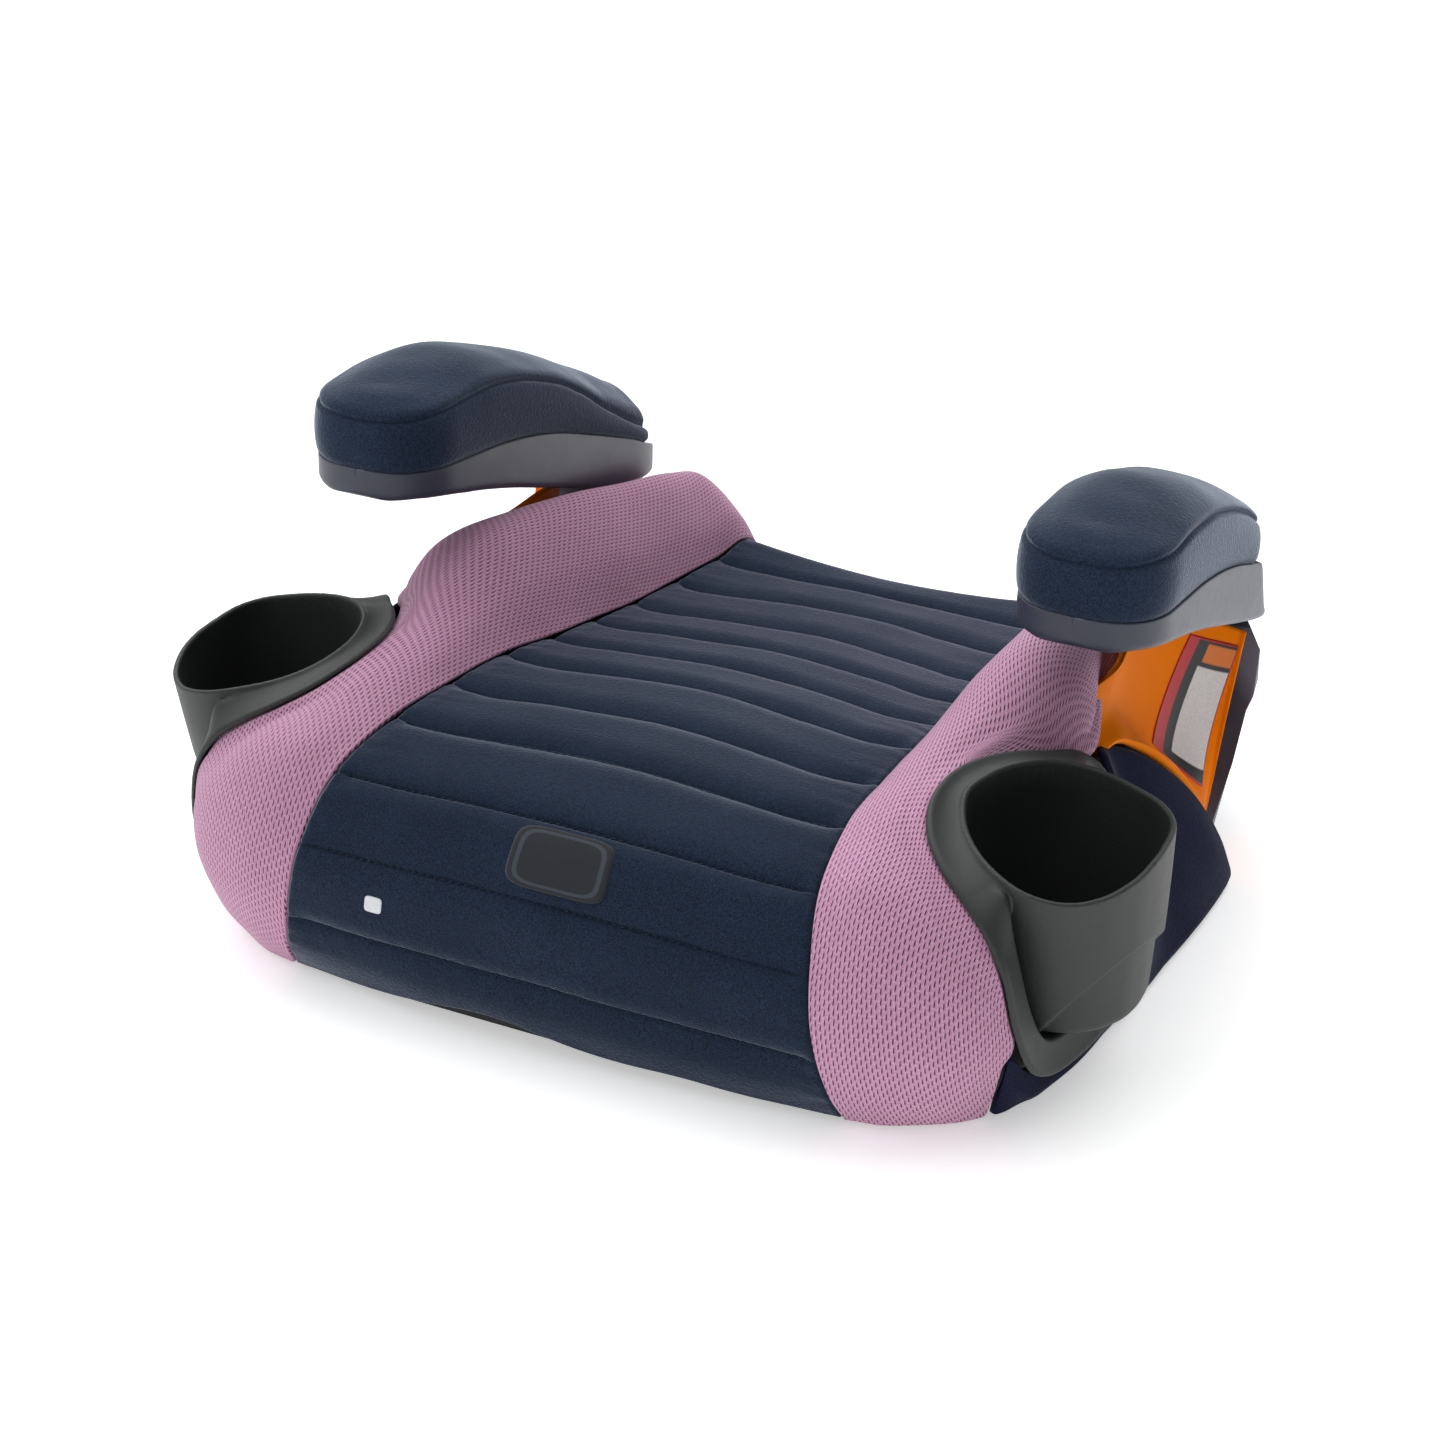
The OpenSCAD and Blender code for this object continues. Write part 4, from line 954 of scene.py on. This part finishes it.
def softened(node, name, mat, width=0.0012, body=SEAT):
    """The CAD node's own shape, with rounded edges."""
    src = N[node]
    me = src.data.copy()
    bm = bmesh.new()
    bm.from_mesh(me)
    bmesh.ops.remove_doubles(bm, verts=bm.verts, dist=1e-5)
    bmesh.ops.dissolve_limit(bm, angle_limit=math.radians(4), verts=bm.verts, edges=bm.edges)
    bm.to_mesh(me)
    bm.free()
    o = bpy.data.objects.new(name, me)
    bpy.context.scene.collection.objects.link(o)
    me.materials.clear()
    me.materials.append(mat)
    b = o.modifiers.new("edges", "BEVEL")
    b.width, b.segments, b.limit_method, b.angle_limit = width, 3, "ANGLE", math.radians(22)
    b.harden_normals = False
    me.polygons.foreach_set("use_smooth", [True] * len(me.polygons))
    apply(o)
    o.data.set_sharp_from_angle(angle=math.radians(24))
    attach(o, body)
    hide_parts(node)
    return o


def apply(o):
    bpy.context.view_layer.update()
    dg = bpy.context.evaluated_depsgraph_get()
    me = bpy.data.meshes.new_from_object(o.evaluated_get(dg))
    o.modifiers.clear()
    o.data = me
    return o


for sfx in ("left", "right"):
    softened("side_post_" + sfx, "side_post_" + sfx + "_skin", M_SLATE, 0.0016)

# ------------------------------------------------------------------ cup holders
def cup_ring(k, d, n=220, lift=0.0, step=False):
    s = len(rim_pts) * np.arange(n) / n
    p = mouth(s, cup_wall - d)
    x = cx + (p[:, 0] - cx) * (1 - 0.06 * k * k)
    y = -67 + (p[:, 1] + 67) * (1 - 0.25 * k)
    z = p[:, 2] + (cup_bottom - p[:, 2]) * k + lift
    if step:
        # below a slanting line the wall is set back
        line = np.clip(56.5 + 1.35 * (x - 203.3) - 0.29 * (y + 136.5), 0, 82) + (3.6 if step == "in" else 0)
        ins = STEP_IN * sstep(0.0, 1.0, line - z)
        t = unit((mouth(s + 0.1, 0) - mouth(s, 0))[:, :2])
        x, y = x - ins * t[:, 1], y + ins * t[:, 0]
    return np.stack([x, y, z], -1)


STEP_IN = 3.2
def flange_mesh():
    n, M = len(edge_pts), 330
    s = np.linspace(0, n, M, endpoint=False)
    e, r = loop_at(edge_pts, s), loop_at(root_pts, s)
    e2 = loop_at(edge_pts, (s + 0.2) % n)
    t, c = unit(e2 - e), unit(r - e)
    nn = unit(np.cross(t, c))
    cols = []
    W_ = np.concatenate([np.linspace(0, 0.62, 14), np.linspace(0.65, 0.82, 14), np.linspace(0.86, 1, 4)])
    L = np.linalg.norm(r - e, axis=1)
    # down the front of the cup the flange ends in a rounded edge over a deep groove
    groove = sstep(8.9, 10.8, s) * (1 - sstep(17.0, 18.5, s))
    hollow = 1.5 - 0.7 * groove
    def level(w):
        q = np.clip(1 - w * L / 2.2, 0, 1)
        g = np.clip((w - 0.66) / 0.15, 0, 1)
        return -2.2 * (1 - np.sqrt(1 - q * q * 0.98)) - hollow * math.sin(math.pi * w) - groove * 9.0 * (1 - np.sqrt(1 - np.minimum(g, 1) ** 2 * 0.999))
    # the bottom of the groove closes against the middle of the cup's wall
    wall = np.concatenate([cup_ring(k, cup_wall / 2, n=440, step=True) for k in np.linspace(0.0, 0.93, 120)])
    foot = r + nn * level(1.0)[:, None]
    foot = np.array([wall[np.argmin(((wall - q) ** 2).sum(1))] for q in foot])
    for _ in range(2):
        foot = (np.roll(foot, 1, 0) + 2 * foot + np.roll(foot, -1, 0)) / 4
    for w in W_:
        b = (sstep(0.84, 1.0, w) * groove)[:, None]
        cols.append((e + (r - e) * w + nn * level(w)[:, None]) * (1 - b) + foot * b)
    for w in W_[::-1]:
        g = sstep(0.45, 0.66, w)
        b = (sstep(0.84, 1.0, w) * groove)[:, None]
        cols.append((e + (r - e) * w + nn * (-2.7 - hollow * math.sin(math.pi * w) - groove * g * 8.6)[:, None]) * (1 - b) + (foot - nn * 2.2) * b)
    G = np.stack(cols, 1)
    k = G.shape[1]
    i, j = np.meshgrid(np.arange(M), np.arange(k), indexing="ij")
    a, b = i * k + j, i * k + (j + 1) % k
    a2, b2 = ((i + 1) % M) * k + j, ((i + 1) % M) * k + (j + 1) % k
    return G.reshape(-1, 3), np.stack([a.ravel(), b.ravel(), b2.ravel(), a2.ravel()], 1)


def cup_body():
    rings = []
    flo = cup_ring(1, 5, step=True)
    c0 = flo.mean(0)
    for q in (0.12, 0.35, 0.6, 0.85, 1.0):
        rings.append(c0 + (flo - c0) * q)
    for a in np.linspace(0, 90, 7):
        rr = 4.0
        k = 1 - (rr - rr * math.sin(math.radians(90 - a)) ) / 82 if False else 1 - rr * (1 - math.cos(math.radians(a))) / 82
        rings.append(cup_ring(k, rr * (1 - math.sin(math.radians(a))) + 0.2, step=True))
    for k in np.linspace(0.945, 0.012, 120):
        rings.append(cup_ring(k, 0, step=True))
    for a in np.linspace(0, 180, 9):
        rings.append(cup_ring(0, cup_wall / 2 - cup_wall / 2 * math.cos(math.radians(a)), lift=-0.6 + 1.2 * math.sin(math.radians(a))))
    for k in np.linspace(0.03, 0.93, 110):
        rings.append(cup_ring(k, cup_wall, step="in"))
    rings.append(cup_ring(0.945, cup_wall + 0.6, step="in"))
    rings.append(cup_ring(0.958, cup_wall + 1.8, step="in"))
    flo = cup_ring(0.965, cup_wall + 4, step="in")
    mid = flo.mean(0)
    for q in (1.0, 0.8, 0.55, 0.3, 0.12):
        rings.append(mid + (flo - mid) * q)
    return np.array(rings)


def cup_mesh():
    R = cup_body()
    n, k = R.shape[:2]
    i, j = np.meshgrid(np.arange(n - 1), np.arange(k), indexing="ij")
    a, b = (i * k + j).ravel(), (i * k + (j + 1) % k).ravel()
    F = np.stack([a, b, b + k, a + k], 1).tolist()
    V = [R.reshape(-1, 3), R[0].mean(0)[None], R[-1].mean(0)[None]]
    for q in range(k):
        F.append([n * k, (q + 1) % k, q])
        F.append([n * k + 1, (n - 1) * k + q, (n - 1) * k + (q + 1) % k])
    o = n * k + 2
    fv, ff = flange_mesh()
    F += (ff + o).tolist()
    V.append(fv)
    o += len(fv)
    # plug that slides onto the socket in the base
    bx = np.array([[x, y, z] for x in (136.4, 145.4) for y in (-118, -98) for z in (62, 78)], float)
    V.append(bx)
    F += [[o + q for q in f] for f in ([0, 1, 3, 2], [4, 6, 7, 5], [0, 4, 5, 1], [2, 3, 7, 6], [0, 2, 6, 4], [1, 5, 7, 3])]
    return np.concatenate(V), F


CV, CF = cup_mesh()
cup_first = None
for left in (False, True):
    sfx, body = ("left", CUP_L) if left else ("right", CUP_R)
    if cup_first is None:
        o = make("cup_holder_" + sfx + "_skin", CV, CF, M_CUP, body=body)
        r = o.modifiers.new("blend", "REMESH")
        r.mode, r.voxel_size, r.use_smooth_shade = "VOXEL", 0.0007, True
        s = o.modifiers.new("soften", "SMOOTH")
        s.factor, s.iterations = 0.5, 3
        apply(o)
        cup_first = o
    else:
        me = cup_first.data.copy()
        co = np.zeros(len(me.vertices) * 3, np.float32)
        me.vertices.foreach_get("co", co)
        co = co.reshape(-1, 3) * np.array([-1, 1, 1], np.float32)
        me.vertices.foreach_set("co", co.ravel())
        me.flip_normals()
        o = bpy.data.objects.new("cup_holder_" + sfx + "_skin", me)
        bpy.context.scene.collection.objects.link(o)
        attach(o, body)
    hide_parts("cup_holder_" + sfx)
    if not o.data.materials:
        o.data.materials.append(M_CUP)

# ------------------------------------------------------------------ floor, light
me = bpy.data.meshes.new("floor")
me.from_pydata([(-9, -9, 0), (9, -9, 0), (9, 9, 0), (-9, 9, 0)], [], [(0, 1, 2, 3)])
fl = bpy.data.objects.new("floor", me)
bpy.context.scene.collection.objects.link(fl)
fm = Mat("floor_pale", rough=0.9, spec=0.1)
fm.color((0.93, 0.93, 0.93, 1))
fm.b.inputs["Emission Color"].default_value = (1, 1, 1, 1)
fm.b.inputs["Emission Strength"].default_value = 0.45
me.materials.append(fm.m)

w = bpy.data.worlds.new("studio")
bpy.context.scene.world = w
w.use_nodes = True
wt = w.node_tree
bg = wt.nodes["Background"]
wz = wt.nodes.new("ShaderNodeSeparateXYZ")
wt.links.new(wt.nodes.new("ShaderNodeTexCoord").outputs["Generated"], wz.inputs[0])


def world_ramp(sock, vals):
    r_ = wt.nodes.new("ShaderNodeMapRange")
    for i_, v_ in enumerate(vals):
        r_.inputs[i_ + 1].default_value = v_
    wt.links.new(sock, r_.inputs[0])
    return r_.outputs[0]


wm = wt.nodes.new("ShaderNodeMath")
wm.operation = "MULTIPLY"
wt.links.new(world_ramp(wz.outputs[2], (0.0, 0.9, 0.03, 0.80)), wm.inputs[0])
wt.links.new(world_ramp(wz.outputs[0], (-0.9, 0.9, 1.35, 0.30)), wm.inputs[1])
wt.links.new(wm.outputs[0], bg.inputs[1])
bg.inputs[0].default_value = (0.96, 0.98, 1.0, 1)


def sun(name, direction, energy, angle, color=(1, 1, 1)):
    d = bpy.data.lights.new(name, "SUN")
    d.energy, d.angle, d.color = energy, math.radians(angle), color
    o = bpy.data.objects.new(name, d)
    o.rotation_euler = Vector(direction).to_track_quat("-Z", "Y").to_euler()
    bpy.context.scene.collection.objects.link(o)


sun("key_left", (0.85, -0.10, -0.85), 1.12, 100)
sun("top_soft", (0.15, -0.60, -0.85), 1.6, 80)
bpy.context.scene.view_settings.view_transform = "Standard"
